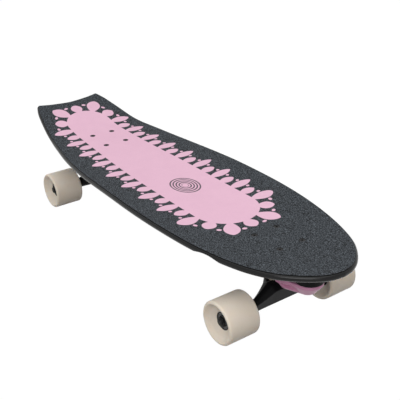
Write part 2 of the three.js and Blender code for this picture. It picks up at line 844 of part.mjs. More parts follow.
function baseBody() {
  const top = -seatGap;
  const flangeBottom = top - baseFlange;
  const inFlange = flangeBottom + baseFlange / 2;
  const wide = housingRadius + housingDraft;
  const halfWidth = baseFlangeHalfWidth - baseFlangeCorner / 2;
  const heel = baseFlangeHalfLength - baseFlangeCorner;
  const spineEnd = -baseFlangeHalfLength + baseFlangeCorner / 2;
  const housing = [[0, baseBottom], [housingRadius, baseBottom], [wide, inFlange], [0, inFlange]];
  const whole = joined(
    roundedPlate(baseFlangeHalfLength, baseFlangeHalfWidth, baseFlangeCorner, flangeBottom, top),
    lofted([flangeBottom, top].map((height) => housingOutline(wide, halfWidth, heel, height))),
    turned(housing, wheelSides).translate(frontPivotX, 0, 0),
    lofted([
      spineOutline(baseSpineHalfWidth, spineEnd + baseSpineDraft, baseBottom),
      spineOutline(baseSpineHalfWidth + baseSpineDraft, spineEnd, inFlange),
    ]),
    baseRib(-1),
    baseRib(1),
  );
  const openTop = top + cutOver;
  const pocket = rod(housingRadius - housingWall, baseBottom + housingFloor, openTop, roundSides);
  const bore = rod(boreRadius(pivotPinRadius), baseBottom - cutOver, openTop);
  return cut(
    whole,
    pocket.translate(frontPivotX, 0, 0),
    bore.translate(frontPivotX, 0, 0),
    ...boltHoles(flangeBottom - cutOver, openTop),
  );
}

// A triangular rib from the spine to the flange's edge, midway between the bolts.
function baseRib(side) {
  const flangeBottom = -seatGap - baseFlange;
  const inFlange = flangeBottom + baseFlange / 2;
  const reach = baseFlangeHalfWidth - baseFlangeCorner / 2;
  const foot = baseBottom + housingFloor;
  const shape = new THREE.Shape();
  shape.moveTo(0, inFlange);
  shape.lineTo(reach, inFlange);
  shape.lineTo(reach, flangeBottom);
  shape.lineTo(baseSpineHalfWidth, foot);
  shape.lineTo(0, foot);
  const rib = extruded(shape, -baseRibWidth / 2, baseRibWidth / 2);
  return rib.rotateX(Math.PI / 2).rotateZ((side * Math.PI) / 2);
}

// Swing arm, in the axle's frame: a flat plate over the kingpin and a deep block that ends in the boss

function armOutline(bossX, bossRadius, heelHalfWidth, heightAt) {
  const shoulderOut = armHeelOut + armShoulderShare * armHalfWidth;
  const points = [
    [armHeelOut, -heelHalfWidth],
    [shoulderOut, -heelHalfWidth],
    ...bossArc(bossX, bossRadius, -bossOverlap),
    [shoulderOut, heelHalfWidth],
    [armHeelOut, heelHalfWidth],
  ];
  return points.map(([x, y]) => new THREE.Vector3(x, y, heightAt(x)));
}

function armBlock() {
  const footX = swingPivotOut - armBossFootSet;
  const footRise = (armFrontUp - armHeelUp) / (footX - armHeelOut);
  const footUp = (x) => Math.min(armFrontUp, armHeelUp + footRise * (x - armHeelOut));
  return lofted([
    armOutline(footX, armBossFootRadius, armHeelHalfWidth, footUp),
    armOutline(swingPivotOut, armBossRadius, armHalfWidth, () => armTopUp - armPlate / 2),
    armOutline(swingPivotOut, armBossRadius, armHalfWidth, () => armTopUp),
  ]);
}

function armPlateBody() {
  const [tail, halfTail] = [armTailOut, armTailHalfWidth];
  const shape = new THREE.Shape();
  shape.moveTo(armHeelOut + armPlate, -armHalfWidth);
  shape.lineTo(armHeelOut + armPlate, armHalfWidth);
  shape.lineTo(armHeelOut, armHalfWidth);
  shape.lineTo(armHeelOut - armPlate, halfTail);
  shape.lineTo(tail + halfTail / 2, halfTail);
  shape.quadraticCurveTo(tail, halfTail, tail, halfTail / 2);
  shape.lineTo(tail, -halfTail / 2);
  shape.quadraticCurveTo(tail, -halfTail, tail + halfTail / 2, -halfTail);
  shape.lineTo(armHeelOut - armPlate, -halfTail);
  shape.lineTo(armHeelOut, -armHalfWidth);
  return extruded(shape, armTopUp - armPlate, armTopUp);
}

// A dished pocket in each flank of the block.
function armSidePockets() {
  const up = (armTopUp - armPlate / 2 + armHeelUp) / 2;
  const out = (armHeelOut + swingPivotOut) / 2 - armSidePocket;
  const flank = (armHalfWidth + armHeelHalfWidth) / 2;
  return [-1, 1].map((side) =>
    new THREE.SphereGeometry(1, pinSides, coarseSides)
      .scale(armHalfWidth / 2, armSidePocket, armPlate)
      .rotateX(side * armPocketLean)
      .translate(out, side * flank, up),
  );
}

function armBody() {
  const boss = onKingpin(rod(kingpinBossRadius, kingpinSeatAt, kingpinSeatAt + armPlate, roundSides));
  const whole = joined(armBlock(), armPlateBody(), boss);
  const pinHole = rod(boreRadius(pivotPinRadius), armTopUp - pivotPinSeat, armTopUp + cutOver);
  const washerFloor = armTopUp + runGap - 2 * seatGap - thrustWasherHeight;
  const washerSeat = rod(thrustWasherRadius + seatGap, washerFloor, armTopUp + cutOver, roundSides);
  return cut(
    whole,
    pinHole.translate(swingPivotOut, 0, 0),
    washerSeat.translate(swingPivotOut, 0, 0),
    pivotCupHole(2 * armPlate),
    ...kingpinTools(armTopUp),
    ...armSidePockets(),
  );
}

// Return spring: one unbroken wire wound round the pivot nut, with a straight lead at each end
class SpringPath extends THREE.Curve {
  getPoint(t, target = new THREE.Vector3()) {
    const turnLength = 2 * Math.PI * springMeanRadius;
    const wound = springTurns * turnLength;
    const along = t * (wound + 2 * springWire) - springWire;
    const onCoil = Math.min(Math.max(along, 0), wound);
    const lead = along - onCoil;
    const turn = 2 * Math.PI * onCoil / turnLength;
    const [out, across] = [Math.cos(turn), Math.sin(turn)];
    const x = springMeanRadius * out - lead * across;
    const y = springMeanRadius * across + lead * out;
    return target.set(x, y, onCoil / turnLength * (springWire + springGap));
  }
}

function leastSpringGap(path, steps) {
  const points = path.getSpacedPoints(steps);
  const apart = Math.ceil(steps / springTurns / 2);
  let least = Infinity;
  for (let i = 0; i < points.length; i++) {
    for (let k = i + apart; k < points.length; k++) {
      least = Math.min(least, points[i].distanceTo(points[k]) - springWire);
    }
  }
  return least;
}

function springCoil() {
  const path = new SpringPath();
  const steps = springTurnSteps * springTurns;
  const wire = new THREE.Shape();
  wire.absarc(0, 0, springWire / 2, 0, 2 * Math.PI);
  const settings = { steps, extrudePath: path, curveSegments: springWireSides / 2, bevelEnabled: false };
  const gap = leastSpringGap(path, steps * springGapSamples);
  console.log(`front_return_spring: least gap between turns ${gap.toFixed(2)} mm`);
  return new THREE.ExtrudeGeometry(wire, settings).translate(0, 0, springWire / 2);
}

function buildSwingPivot(pivot) {
  const pinFoot = baseBottom - runGap - pivotPinSeat + seatGap;
  const nutBottom = -seatGap - cutOver / 2 - pivotNutHeight;
  const pin = rod(pivotPinRadius, pinFoot, nutBottom + pivotNutHeight + seatGap);
  const nut = hexNut(pivotNutFlats, pivotNutHeight, pivotPinRadius);
  const washerTop = baseBottom - seatGap;
  const thrust = washer(thrustWasherRadius, pivotPinRadius, washerTop - thrustWasherHeight, washerTop);
  const springFoot = baseBottom + housingFloor + seatGap;
  piece("front_pivot_pin", pivot, pin, "steel");
  piece("front_pivot_nut", pivot, nut.translate(0, 0, nutBottom), "steel");
  piece("front_thrust_washer", pivot, thrust, "plastic");
  piece("front_return_spring", pivot, springCoil().translate(0, 0, springFoot), "steel");
}

function buildFrontTruck() {
  const frame = truckFrames.front;
  piece("front_base", frame, baseBody(), "blackMetal");
  buildSwingPivot(placed(frame, frontPivotX, 0, 0));
  const axleFrame = placed(frame, frontAxleOut, 0, -frontAxleDrop);
  piece("front_swing_arm", axleFrame, armBody(), "armPaint");
  buildHanger("front", axleFrame);
  return axleFrame;
}

// Rear truck

function rearPlateBody(from, to) {
  return roundedPlate(rearPlateHalfLength, rearPlateHalfWidth, rearPlateCorner, from, to);
}

function riserBody() {
  const bottom = -seatGap - riserHeight;
  const [below, above] = [bottom - cutOver, cutOver];
  const corner = rearPlateCorner / 2;
  const window = roundedPlate(riserWindowHalfLength, riserWindowHalfWidth, corner, below, above);
  return cut(rearPlateBody(bottom, -seatGap), window, ...boltHoles(below, above));
}

// The post's section is an oblong with its corners taken off.
function pivotPost(halfLength, halfWidth, up) {
  const near = 1 - postCornerShare;
  const half = [[near, -1], [1, -near], [1, near], [near, 1]];
  const corners = [...half, ...half.map(([x, y]) => [-x, -y])];
  const middle = pivotTipOut + seatGap;
  return flatOutline(corners.map(([x, y]) => [middle + x * halfLength, y * halfWidth]), up);
}

// Rear baseplate, in the axle's frame: plate, kingpin pedestal, pivot post and the web between them.
function rearBaseBody() {
  const plateTop = rearTruckHeight;
  const plateBottom = plateTop - rearPlate;
  const inPlate = plateBottom + rearPlate / 2;
  const sunk = rearPedestalRadius * Math.sin(kingpinLean);
  const pedestalEnd = (inPlate - ringUp - sunk) / Math.cos(kingpinLean);
  const pedestal = [
    [0, kingpinSeatAt],
    [kingpinBossRadius, kingpinSeatAt],
    [rearPedestalRadius, pedestalEnd],
    [0, pedestalEnd],
  ];
  const whole = joined(
    rearPlateBody(plateBottom, plateTop).translate(-rearAxleOut, 0, 0),
    onKingpin(turned(pedestal)),
    lofted([
      pivotPost(rearPivotFoot, rearPivotFoot, rearPivotUp),
      pivotPost(rearPivotHalfWidth, rearPivotHalfWidth, inPlate),
      pivotPost(rearPivotHalfWidth, rearPivotHalfWidth, plateTop),
    ]),
    block(ringOut, pivotTipOut, rearWebHalfWidth, rearWebUp, inPlate),
  );
  const holes = boltHoles(plateBottom - cutOver, plateTop + cutOver);
  return cut(
    whole,
    pivotCupHole(2 * rearPivotHalfWidth),
    ...kingpinTools(plateTop),
    ...holes.map((hole) => hole.translate(-rearAxleOut, 0, 0)),
  );
}

function buildRearTruck() {
  const frame = truckFrames.rear;
  piece("rear_riser", frame, riserBody(), "plastic");
  const axleFrame = placed(frame, rearAxleOut, 0, -rearAxleDrop);
  piece("rear_baseplate", axleFrame, rearBaseBody(), "blackMetal");
  buildHanger("rear", axleFrame);
  return axleFrame;
}

// Wheels

function tyre() {
  const [width, round] = [wheelWidth, wheelEdgeRound];
  const radius = wheelRadius / Math.cos(Math.PI / wheelSides);
  const diagonal = round * (1 - Math.SQRT1_2);
  const seat = boreRadius(bearingRadius, wheelSides);
  const outerSeat = wheelRecess - seatGap;
  const outerStop = wheelRecess + bearingWidth;
  const innerStop = outerStop + bearingSpacing;
  const innerSeat = innerStop + bearingWidth + seatGap;
  return turnedRing(
    [
      [wheelDishRadius, 0],
      [wheelRecessMouth, wheelDish],
      [wheelRecessMouth, outerSeat],
      [seat, outerSeat],
      [seat, outerStop + seatGap],
      [wheelCoreRadius, outerStop + seatGap],
      [wheelCoreRadius, innerStop - seatGap],
      [seat, innerStop - seatGap],
      [seat, innerSeat],
      [wheelRecessMouth, width - wheelDish],
      [wheelDishRadius, width],
      [radius - round, width],
      [radius - diagonal, width - diagonal],
      [radius, width - round],
      [radius, round],
      [radius - diagonal, diagonal],
      [radius - round, 0],
    ],
    wheelSides,
  );
}

function bearing() {
  const bore = boreRadius(axleRadius, bearingSides);
  const [inner, outer] = [bore + bearingRace, bearingRadius - bearingRace];
  return turnedRing(
    [
      [bore, 0],
      [inner, 0],
      [inner, bearingShieldStep],
      [outer, bearingShieldStep],
      [outer, 0],
      [bearingRadius, 0],
      [bearingRadius, bearingWidth],
      [bore, bearingWidth],
    ],
    bearingSides,
  );
}

// One wheel: its local z runs from the outer face towards mid-board.
function buildWheel(name, axleFrame, side) {
  const frame = placed(axleFrame, 0, side * wheelFaceY, 0, [(side * Math.PI) / 2, 0, 0]);
  const levelFacet = Math.PI / wheelSides - side * truckTilt;
  piece(`${name}_wheel`, frame, tyre().rotateZ(levelFacet), "urethane");
  piece(`${name}_bearing_outer`, placed(frame, 0, 0, wheelRecess), bearing(), "darkSteel");
  const innerEnd = wheelFaceY - innerBearingY;
  const inner = bearing().rotateX(Math.PI);
  piece(`${name}_bearing_inner`, placed(frame, 0, 0, innerEnd), inner, "darkSteel");
  const nut = hexNut(axleNutFlats, axleNutHeight, axleRadius);
  piece(`${name}_axle_nut`, placed(frame, 0, 0, wheelFaceY - axleNutY - axleNutHeight), nut, "steel");
}

buildDeck();
for (const [end, buildTruck] of [["front", buildFrontTruck], ["rear", buildRearTruck]]) {
  const axleFrame = buildTruck();
  const left = end === "front" ? 1 : -1; // the rear truck faces the other way
  buildWheel(`${end}_left`, axleFrame, left);
  buildWheel(`${end}_right`, axleFrame, -left);
  buildDeckBolts(end);
}

export default board;
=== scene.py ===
"""Surf skateboard on a pale floor, seen from the front right and above."""

import json
import math

import bmesh
import bpy
from mathutils import Matrix, Vector


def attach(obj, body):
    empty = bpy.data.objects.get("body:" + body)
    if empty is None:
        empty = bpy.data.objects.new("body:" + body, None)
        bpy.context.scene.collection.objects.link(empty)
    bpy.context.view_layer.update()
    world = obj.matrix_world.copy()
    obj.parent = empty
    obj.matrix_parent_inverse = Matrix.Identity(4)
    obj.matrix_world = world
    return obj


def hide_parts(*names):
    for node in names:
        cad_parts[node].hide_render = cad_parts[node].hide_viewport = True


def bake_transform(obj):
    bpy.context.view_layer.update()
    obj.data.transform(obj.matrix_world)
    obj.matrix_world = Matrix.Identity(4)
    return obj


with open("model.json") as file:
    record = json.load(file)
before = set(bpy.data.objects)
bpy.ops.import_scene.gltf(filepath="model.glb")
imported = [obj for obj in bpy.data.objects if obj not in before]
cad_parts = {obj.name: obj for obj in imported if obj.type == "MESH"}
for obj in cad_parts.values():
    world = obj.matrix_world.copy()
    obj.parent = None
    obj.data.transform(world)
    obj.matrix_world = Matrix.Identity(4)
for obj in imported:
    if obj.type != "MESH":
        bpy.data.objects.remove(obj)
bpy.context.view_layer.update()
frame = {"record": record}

# Sizes in millimetres; every finished mesh is scaled to metres when it is settled.
MM = 0.001

# Clearances
SEAT = 0.3
RUN = 0.6
FIT = 0.08
OVER = 4.0  # how far a cutting tool runs past what it cuts
EASE = 0.3  # how much wider the deck's holes are than its bolts
GRIP_EASE = 0.4  # the same for the bolts' heads in the grip
HAIR = 0.02  # keeps faces that would touch from flickering
LAP = 0.05  # how far joined forms run into each other
CAST_SPARE = 0.4  # what a casting leaves for its bores
BOLT_PLAY = 0.2  # how much wider a truck's holes are than its bolts

# How meshes are made
WELD = 1e-4
NUDGE = 1e-4  # a step too small to see
SHARP_ANGLE = math.radians(38)
TURNED_FACETS = 64
SMALL_FACETS = 40
HOLE_FACETS = 32
CAST_GRAIN = 0.8
CAST_PASSES = 8
CAST_SOFTNESS = 0.5

# Deck
DECK_LENGTH = 791.0
DECK_WIDTH = 245.0
DECK_THICKNESS = 8.8
DECK_EDGE_ROUND = 4.0
PLIES = 7.0
TAIL_TIP_SPAN = 134.0
TAIL_NOTCH = 12.5
TAIL_X = -DECK_LENGTH / 2
NOSE_X = DECK_LENGTH / 2
REAR_TRUCK_X = TAIL_X + 0.21871 * DECK_LENGTH
TRUCK_SPACING = 0.618205 * DECK_LENGTH
FRONT_TRUCK_X = REAR_TRUCK_X + TRUCK_SPACING
MIDDLE_X = (REAR_TRUCK_X + FRONT_TRUCK_X) / 2
ROCKER_RISE = 4.6
KICK_START = 27.0
KICK_BEND = 60.0
KICK_SLOPE = 0.215
CONCAVE_DEPTH = 8.4
CONCAVE_SHARES = (0.04, 0.52, 0.69, 1.35)
NOSE_RISE = 2.2
NOSE_RISE_LENGTH = 100.0
GRIP_THICKNESS = 1.1
GRIP_INSET = 3.0
GRIP_EDGE = 0.3
TAIL_EDGE = ((1, 0), (0.9, 0.17), (0.55, 0.5), (0.18, 0.8), (0, 0.945), (0.15, 1.0))
SIDE_EDGE = (
    (0.009, 0.569), (0.03, 0.618), (0.065, 0.67), (0.105, 0.72), (0.145, 0.762),
    (0.195, 0.818), (0.265, 0.892), (0.355, 0.952), (0.455, 0.984), (0.56, 1.0),
    (0.655, 0.987), (0.74, 0.944), (0.805, 0.878), (0.858, 0.793), (0.9, 0.695),
    (0.935, 0.578), (0.963, 0.435), (0.984, 0.286), (0.996, 0.142), (1, 0),
)
TAIL_FADE = 0.16
SHEET_COLUMNS = 22
SHEET_ROWS = 150
WELL_X = 241.0
WELL_Y = 112.0
WELL_BALL = 66.0
WELL_DEPTH = 5.6
WELL_STRETCH = 1.5
WELL_STEPS = 32

# Bolts through the deck
BOLT_LONG = 53.98
BOLT_WIDE = 41.28
BOLT_RADIUS = 2.4
BOLT_HEAD = 4.6
BOLT_HEAD_DEPTH = 2.8
HEAD_SINK = 0.2
HEAD_CHAMFER = 0.3
BOLT_KEY = 1.7
BOLT_PITCH = 0.8
BOLT_THREAD = 12.0
BOLT_TIP = 2.0
DECK_NUT_FLATS = 8.0
DECK_NUT_HEIGHT = 5.0
NUT_HEX_SHARE = 0.7
NUT_FACE_SHARE = 0.95
NUT_COLLAR_SHARE = 0.86
NUT_CURL_SHARE = 0.12
NUT_RING_SHARE = 0.45
NUT_RING_SINK = 0.4
THREAD_END = 0.6

# Printed field on the grip, in metres as the finished sheet is
FIELD_TAIL = -0.300
FIELD_NOSE = 0.142
FIELD_TAIL_HALF = 0.044
FIELD_NOSE_HALF = 0.054
FIELD_TAPER = -0.32
PETAL_COUNT = 22
FIELD_ENDS = (FIELD_NOSE_HALF + FIELD_TAIL_HALF) * math.pi / 2
PETAL_PITCH = (FIELD_NOSE - FIELD_TAIL + FIELD_ENDS) / PETAL_COUNT
PETAL_HALF = 0.0098
PETAL_ROOT = 0.006
PETAL_SHORT = 0.023
PETAL_LONGER = 0.014
PETAL_POINT = 1.1
PETAL_FULLNESS = 0.62
PETAL_TRIM = 0.0005
INK_EDGE = 0.0003
DOT_OUT = 0.021
DOT_RADIUS = 0.0026
DOT_EDGE = 0.0005
RINGS_X = 0.035
RINGS_SQUASH = 1.7
RINGS_PER_METRE = 170.0
RINGS_RADIUS = 0.0323
RINGS_EYE = 0.006
RINGS_EDGE = 0.0004

# Wheels and bearings
WHEEL_RADIUS = 32.6
WHEEL_WIDTH = 52.0
WHEEL_EDGE = 4.0
WHEEL_RECESS = 11.5
CONE_DEPTH = 10.9
CONE_RADIUS = 28.5
BOWL_RADIUS = 22.5
BOWL_DEPTH = 6.4
WHEEL_MOUTH = 13.5
WHEEL_CORE = 9.0
BEARING_RADIUS = 11.0
BEARING_WIDTH = 7.0
BEARING_SPACING = 10.0
RACE_WIDTH = 2.1
SHIELD_EDGE = ((0.0, 0.6), (0.7, 0.6), (0.9, 0.35))
SHIELD_GROOVE = ((-0.4, 0.3), (0.0, 0.45), (0.4, 0.3))
BEARING_FACETS = 72
BEARING_RIMS = (6.3, 8.9, 10.6)
RIM_HALF = 0.22
RIM_EDGE = 0.06
TYRE_FACETS = 144
TYRE_STEPS = 8
AXLE_RADIUS = 4.0
AXLE_PITCH = 1.0
AXLE_NUT_FLATS = 13.0
AXLE_NUT_HEIGHT = 5.6
AXLE_TIP = 0.8

# Hanger, measured from the axle's middle, out being away from mid-board
HANGER_WIDTH = 165.0
BEAM_SPAN = 122.0
BEAM_END = 7.4
SHOULDER = 6.8
SHOULDER_ROOT = 50.0
BEAM_STATIONS = 56
BEAM_REACH = 1.13
BEAM_SHRUNK = 1.06
BEAM_RIDGE = 27.0
BEAM_YOKE = 0.36
BEAM_SWELL = 1.45
BEAM_END_SHARES = (
    (-0.4, -1.13), (0.3, -1.13), (1.02, 0.6), (0.5, 1.1), (-0.35, 1.1), (-0.6, 0.6), (-0.7, -0.5),
)
BEAM_MIDDLE_SHARES = (
    (-0.22, -0.31), (0.07, -0.31), (0.42, 0.68), (0.15, 0.96), (-0.2, 1), (-0.62, 0.74), (-0.5, -0.07),
)
RING_OUT = -15.5
RING_UP = 14.0
RING_RADIUS = 17.0
RING_DEPTH = 10.0
RING_WEB = 3.5
RING_HOLE = 8.0
RING_WALL = 4.2
PIVOT_OUT = 24.0
PIVOT_UP = 37.0
PIVOT_TIP = 5.5
PIVOT_STEM = 8.5
LEAN_RELIEF = 1.3
KINGPIN_LEAN = math.radians(12)

# Kingpin and its stack
KINGPIN_RADIUS = 4.75
KINGPIN_HEAD = 8.0
KINGPIN_HEAD_HEIGHT = 6.0
KINGPIN_PITCH = 1.25
KINGPIN_THREAD = 16.0
KINGPIN_CROWN = 0.46
KINGPIN_NUT_FLATS = 14.0
KINGPIN_NUT_HEIGHT = 9.0
KINGPIN_BOSS = 12.4
BUSHING_RADIUS = 12.0
BUSHING_WAIST = 1.4
UPPER_BUSHING_HEIGHT = 14.0
LOWER_BUSHING_HEIGHT = 11.5
LOWER_BUSHING_TIP = 10.0
WASHER_HEIGHT = 1.6
WASHER_RADIUS = 11.8
CUP_WALL = 2.0
CUP_MOUTH = 6.0

# Front base and swing arm
BASE_HEIGHT = 29.0
BASE_FLANGE = 7.0
BASE_HALF_LENGTH = 38.0
BASE_HALF_WIDTH = 28.0
BASE_CORNER = 8.0
SPINE_HALF = 12.0
SPINE_DRAFT = 2.0
BASE_RIB = 4.0
HOUSING_RADIUS = 20.5
HOUSING_DRAFT = 3.0
HOUSING_FLOOR = 6.0
HOUSING_WALL = 4.0
SWING_OUT = 56.2
ARM_TOP = 49.3
ARM_PLATE = 7.7
ARM_FRONT_UP = 31.0
ARM_HEEL_UP = 27.0
ARM_HEEL_OUT = 18.0
ARM_HALF = 29.0
ARM_HEEL_HALF = 17.0
ARM_SHOULDER = ARM_HEEL_OUT + 0.25 * ARM_HALF
ARM_TAIL_OUT = -34.0
ARM_TAIL_HALF = 22.0
ARM_BOSS = 19.6
ARM_BOSS_FOOT = 11.5
ARM_FOOT_SET = 4.0
ARM_POCKET = 3.6
ARM_POCKET_HALF = 6.2
ARM_POCKET_LEAN = math.radians(30)
BOSS_OVERLAP = math.radians(15)
PIN_RADIUS = 6.0
PIN_SEAT = 14.0
PIN_PITCH = 1.5
PIN_THREAD = 12.0
PIN_TIP = 0.8
PIN_CHAMFER = 0.5
PIVOT_NUT_FLATS = 19.0
PIVOT_NUT_HEIGHT = 8.0
THRUST_RADIUS = 15.0
THRUST_HEIGHT = 1.6
SPRING_WIRE = 3.2
SPRING_RADIUS = 13.6
SPRING_TURNS = 4.0
SPRING_GAP = 0.7
SPRING_POINTS = 240
SPRING_FACETS = 20

# Rear baseplate and riser
REAR_AXLE_OUT = 26.9
REAR_TRUCK_HEIGHT = 66.0
REAR_PLATE = 8.0
REAR_HALF_LENGTH = 40.0
REAR_HALF_WIDTH = 27.5
REAR_CORNER = 7.0
REAR_PEDESTAL = 15.5
POST_HALF = 14.0
POST_FOOT = 11.0
POST_UP = 25.0
WEB_HALF = 5.0
WEB_UP = 39.0
WINDOW_LENGTH = 16.0
WINDOW_WIDTH = 13.0

# Places that follow from the sizes
TILT = math.atan(4 * ROCKER_RISE / TRUCK_SPACING)
BASE_TOP = -SEAT
BASE_BOTTOM = BASE_TOP - BASE_HEIGHT
FRONT_DROP = ARM_TOP + RUN - BASE_BOTTOM
PIVOT_X = BOLT_LONG / 2 + 38.0
FRONT_AXLE_OUT = PIVOT_X - SWING_OUT
RIDE_HEIGHT = WHEEL_RADIUS + FRONT_DROP * math.cos(TILT) - FRONT_AXLE_OUT * math.sin(TILT)
REAR_DROP = (RIDE_HEIGHT - WHEEL_RADIUS + REAR_AXLE_OUT * math.sin(TILT)) / math.cos(TILT)
RISER_HEIGHT = REAR_DROP - REAR_TRUCK_HEIGHT - 2 * SEAT
DECK_LOWEST = RIDE_HEIGHT + DECK_THICKNESS - ROCKER_RISE
GRIP_TOP = DECK_THICKNESS + GRIP_THICKNESS
PIVOT_REACH = math.hypot(PIVOT_OUT - RING_OUT, PIVOT_UP - RING_UP)
STEER_RISE = math.atan2(PIVOT_UP - RING_UP, PIVOT_OUT - RING_OUT)
UPPER_BUSHING = RING_WEB + SEAT
UPPER_WASHER = UPPER_BUSHING + UPPER_BUSHING_HEIGHT + SEAT
KINGPIN_SEAT = UPPER_WASHER + WASHER_HEIGHT + SEAT
LOWER_BUSHING = -RING_WEB - SEAT
LOWER_WASHER = LOWER_BUSHING - LOWER_BUSHING_HEIGHT - SEAT
KINGPIN_NUT = LOWER_WASHER - WASHER_HEIGHT - SEAT
KINGPIN_END = KINGPIN_NUT - KINGPIN_NUT_HEIGHT - 2.0
INNER_BEARING_Y = HANGER_WIDTH / 2 + SEAT
OUTER_BEARING_Y = INNER_BEARING_Y + BEARING_WIDTH + BEARING_SPACING
WHEEL_FACE_Y = OUTER_BEARING_Y + BEARING_WIDTH + WHEEL_RECESS
AXLE_NUT_Y = OUTER_BEARING_Y + BEARING_WIDTH + SEAT
AXLE_HALF = AXLE_NUT_Y + AXLE_NUT_HEIGHT + AXLE_TIP
CLAMPED = {"front": BASE_FLANGE, "rear": RISER_HEIGHT + SEAT + REAR_PLATE}
HEAD_TOP = {"front": ARM_TOP, "rear": REAR_TRUCK_HEIGHT}
ENDS = ("front", "rear")
WHEELS = {
    "front_left": ("front", 1), "front_right": ("front", -1),
    "rear_left": ("rear", -1), "rear_right": ("rear", 1),
}

# Studio, in metres
CAMERA_PLACE = (0.919589, -0.584234, 0.612942)
CAMERA_AHEAD = (-0.7368, 0.5106, -0.4432)
CAMERA_UP = (-0.3497, 0.2733, 0.8961)
CAMERA_SENSOR = 36.0
CAMERA_LENS = 64.13
WHITE = (1.0, 1.0, 1.0, 1.0)
FLOOR_COLOUR = (0.33, 0.33, 0.33, 1.0)
FLOOR_GLOW = 1.05
FLOOR_HALF = 6.0
SKY_STRENGTH = 0.58
LAMPS = (
    ("overhead", (0.1, 0.1, 1.7), (0.0, 0.0, 0.1), (1.8, 1.4), 9.0),
    ("front_right", (1.25, -1.25, 1.15), (0.1, 0.0, 0.06), (1.2, 0.9), 14.5),
)


def moved(x=0.0, y=0.0, z=0.0, lean=0.0, turn=0.0):
    spin = Matrix.Rotation(turn, 4, "Z") @ Matrix.Rotation(lean, 4, "Y")
    return Matrix.Translation((x, y, z)) @ spin


def about_x(turn):
    return Matrix.Rotation(turn, 4, "X")


# Frames of the trucks, then places within an axle's frame
PLATE = {
    "front": moved(FRONT_TRUCK_X, 0, RIDE_HEIGHT, -TILT),
    "rear": moved(REAR_TRUCK_X, 0, RIDE_HEIGHT, -TILT, math.pi),
}
AXLE = {
    "front": PLATE["front"] @ moved(FRONT_AXLE_OUT, 0, -FRONT_DROP),
    "rear": PLATE["rear"] @ moved(REAR_AXLE_OUT, 0, -REAR_DROP),
}
SWING = PLATE["front"] @ moved(PIVOT_X)
ON_KINGPIN = moved(RING_OUT, 0, RING_UP, KINGPIN_LEAN)
ON_STEER = moved(RING_OUT, 0, RING_UP, math.pi / 2 - STEER_RISE)
AT_CUP = moved(PIVOT_OUT, 0, PIVOT_UP, math.pi / 2 - STEER_RISE)
ACROSS = about_x(-math.pi / 2)
FLIP = about_x(math.pi)
IDENTITY = Matrix.Identity(4)


# Node trees


def feed(tree, given, socket):
    """Links a value or a node's socket to an input, or sets the input to a constant."""
    if isinstance(given, Value):
        tree.links.new(given.socket, socket)
    elif isinstance(given, bpy.types.NodeSocket):
        tree.links.new(given, socket)
    else:
        socket.default_value = given


class Value:
    """A number in a node tree: arithmetic on it adds Math nodes."""

    def __init__(self, tree, socket):
        self.tree = tree
        self.socket = socket

    def math(self, operation, *others):
        return self.combined(operation, (self, *others))

    def combined(self, operation, numbers):
        node = self.tree.nodes.new("ShaderNodeMath")
        node.operation = operation
        for socket, given in zip(node.inputs, numbers):
            feed(self.tree, given, socket)
        return Value(self.tree, node.outputs[0])

    def __add__(self, other):
        return self.math("ADD", other)

    __radd__ = __add__

    def __sub__(self, other):
        return self.math("SUBTRACT", other)

    def __rsub__(self, other):
        return self.combined("SUBTRACT", (other, self))

    def __mul__(self, other):
        return self.math("MULTIPLY", other)

    __rmul__ = __mul__

    def __truediv__(self, other):
        return self.math("DIVIDE", other)

    def __rtruediv__(self, other):
        return self.combined("DIVIDE", (other, self))

    def __abs__(self):
        return self.math("ABSOLUTE")

    def sine(self):
        return self.math("SINE")

    def cosine(self):
        return self.math("COSINE")

    def least(self, other):
        return self.math("MINIMUM", other)

    def most(self, other):
        return self.math("MAXIMUM", other)

    def step(self, low, high):
        """0 below low, 1 above high, eased between them."""
        node = self.tree.nodes.new("ShaderNodeMapRange")
        node.interpolation_type = "SMOOTHSTEP"
        for name, given in (("Value", self), ("From Min", low), ("From Max", high)):
            feed(self.tree, given, node.inputs[name])
        return Value(self.tree, node.outputs["Result"])

    def line(self, at, half, soft):
        """1 within half of a place, 0 outside, with soft edges."""
        return 1.0 - abs(self - at).step(half - soft, half + soft)


class Tree:
    """A node tree whose nodes are added by one method."""

    def __init__(self, tree):
        self.tree = tree

    def add(self, kind, settings=None, inputs=None):
        node = self.tree.nodes.new(kind)
        for name, value in (settings or {}).items():
            setattr(node, name, value)
        for name, given in (inputs or {}).items():
            feed(self.tree, given, node.inputs[name])
        return node

    def out(self, kind, inputs=None, socket=0, **settings):
        """An output of a new node, the first unless another is named."""
        return self.add(kind, settings, inputs).outputs[socket]

    def value(self, socket):
        return Value(self.tree, socket)


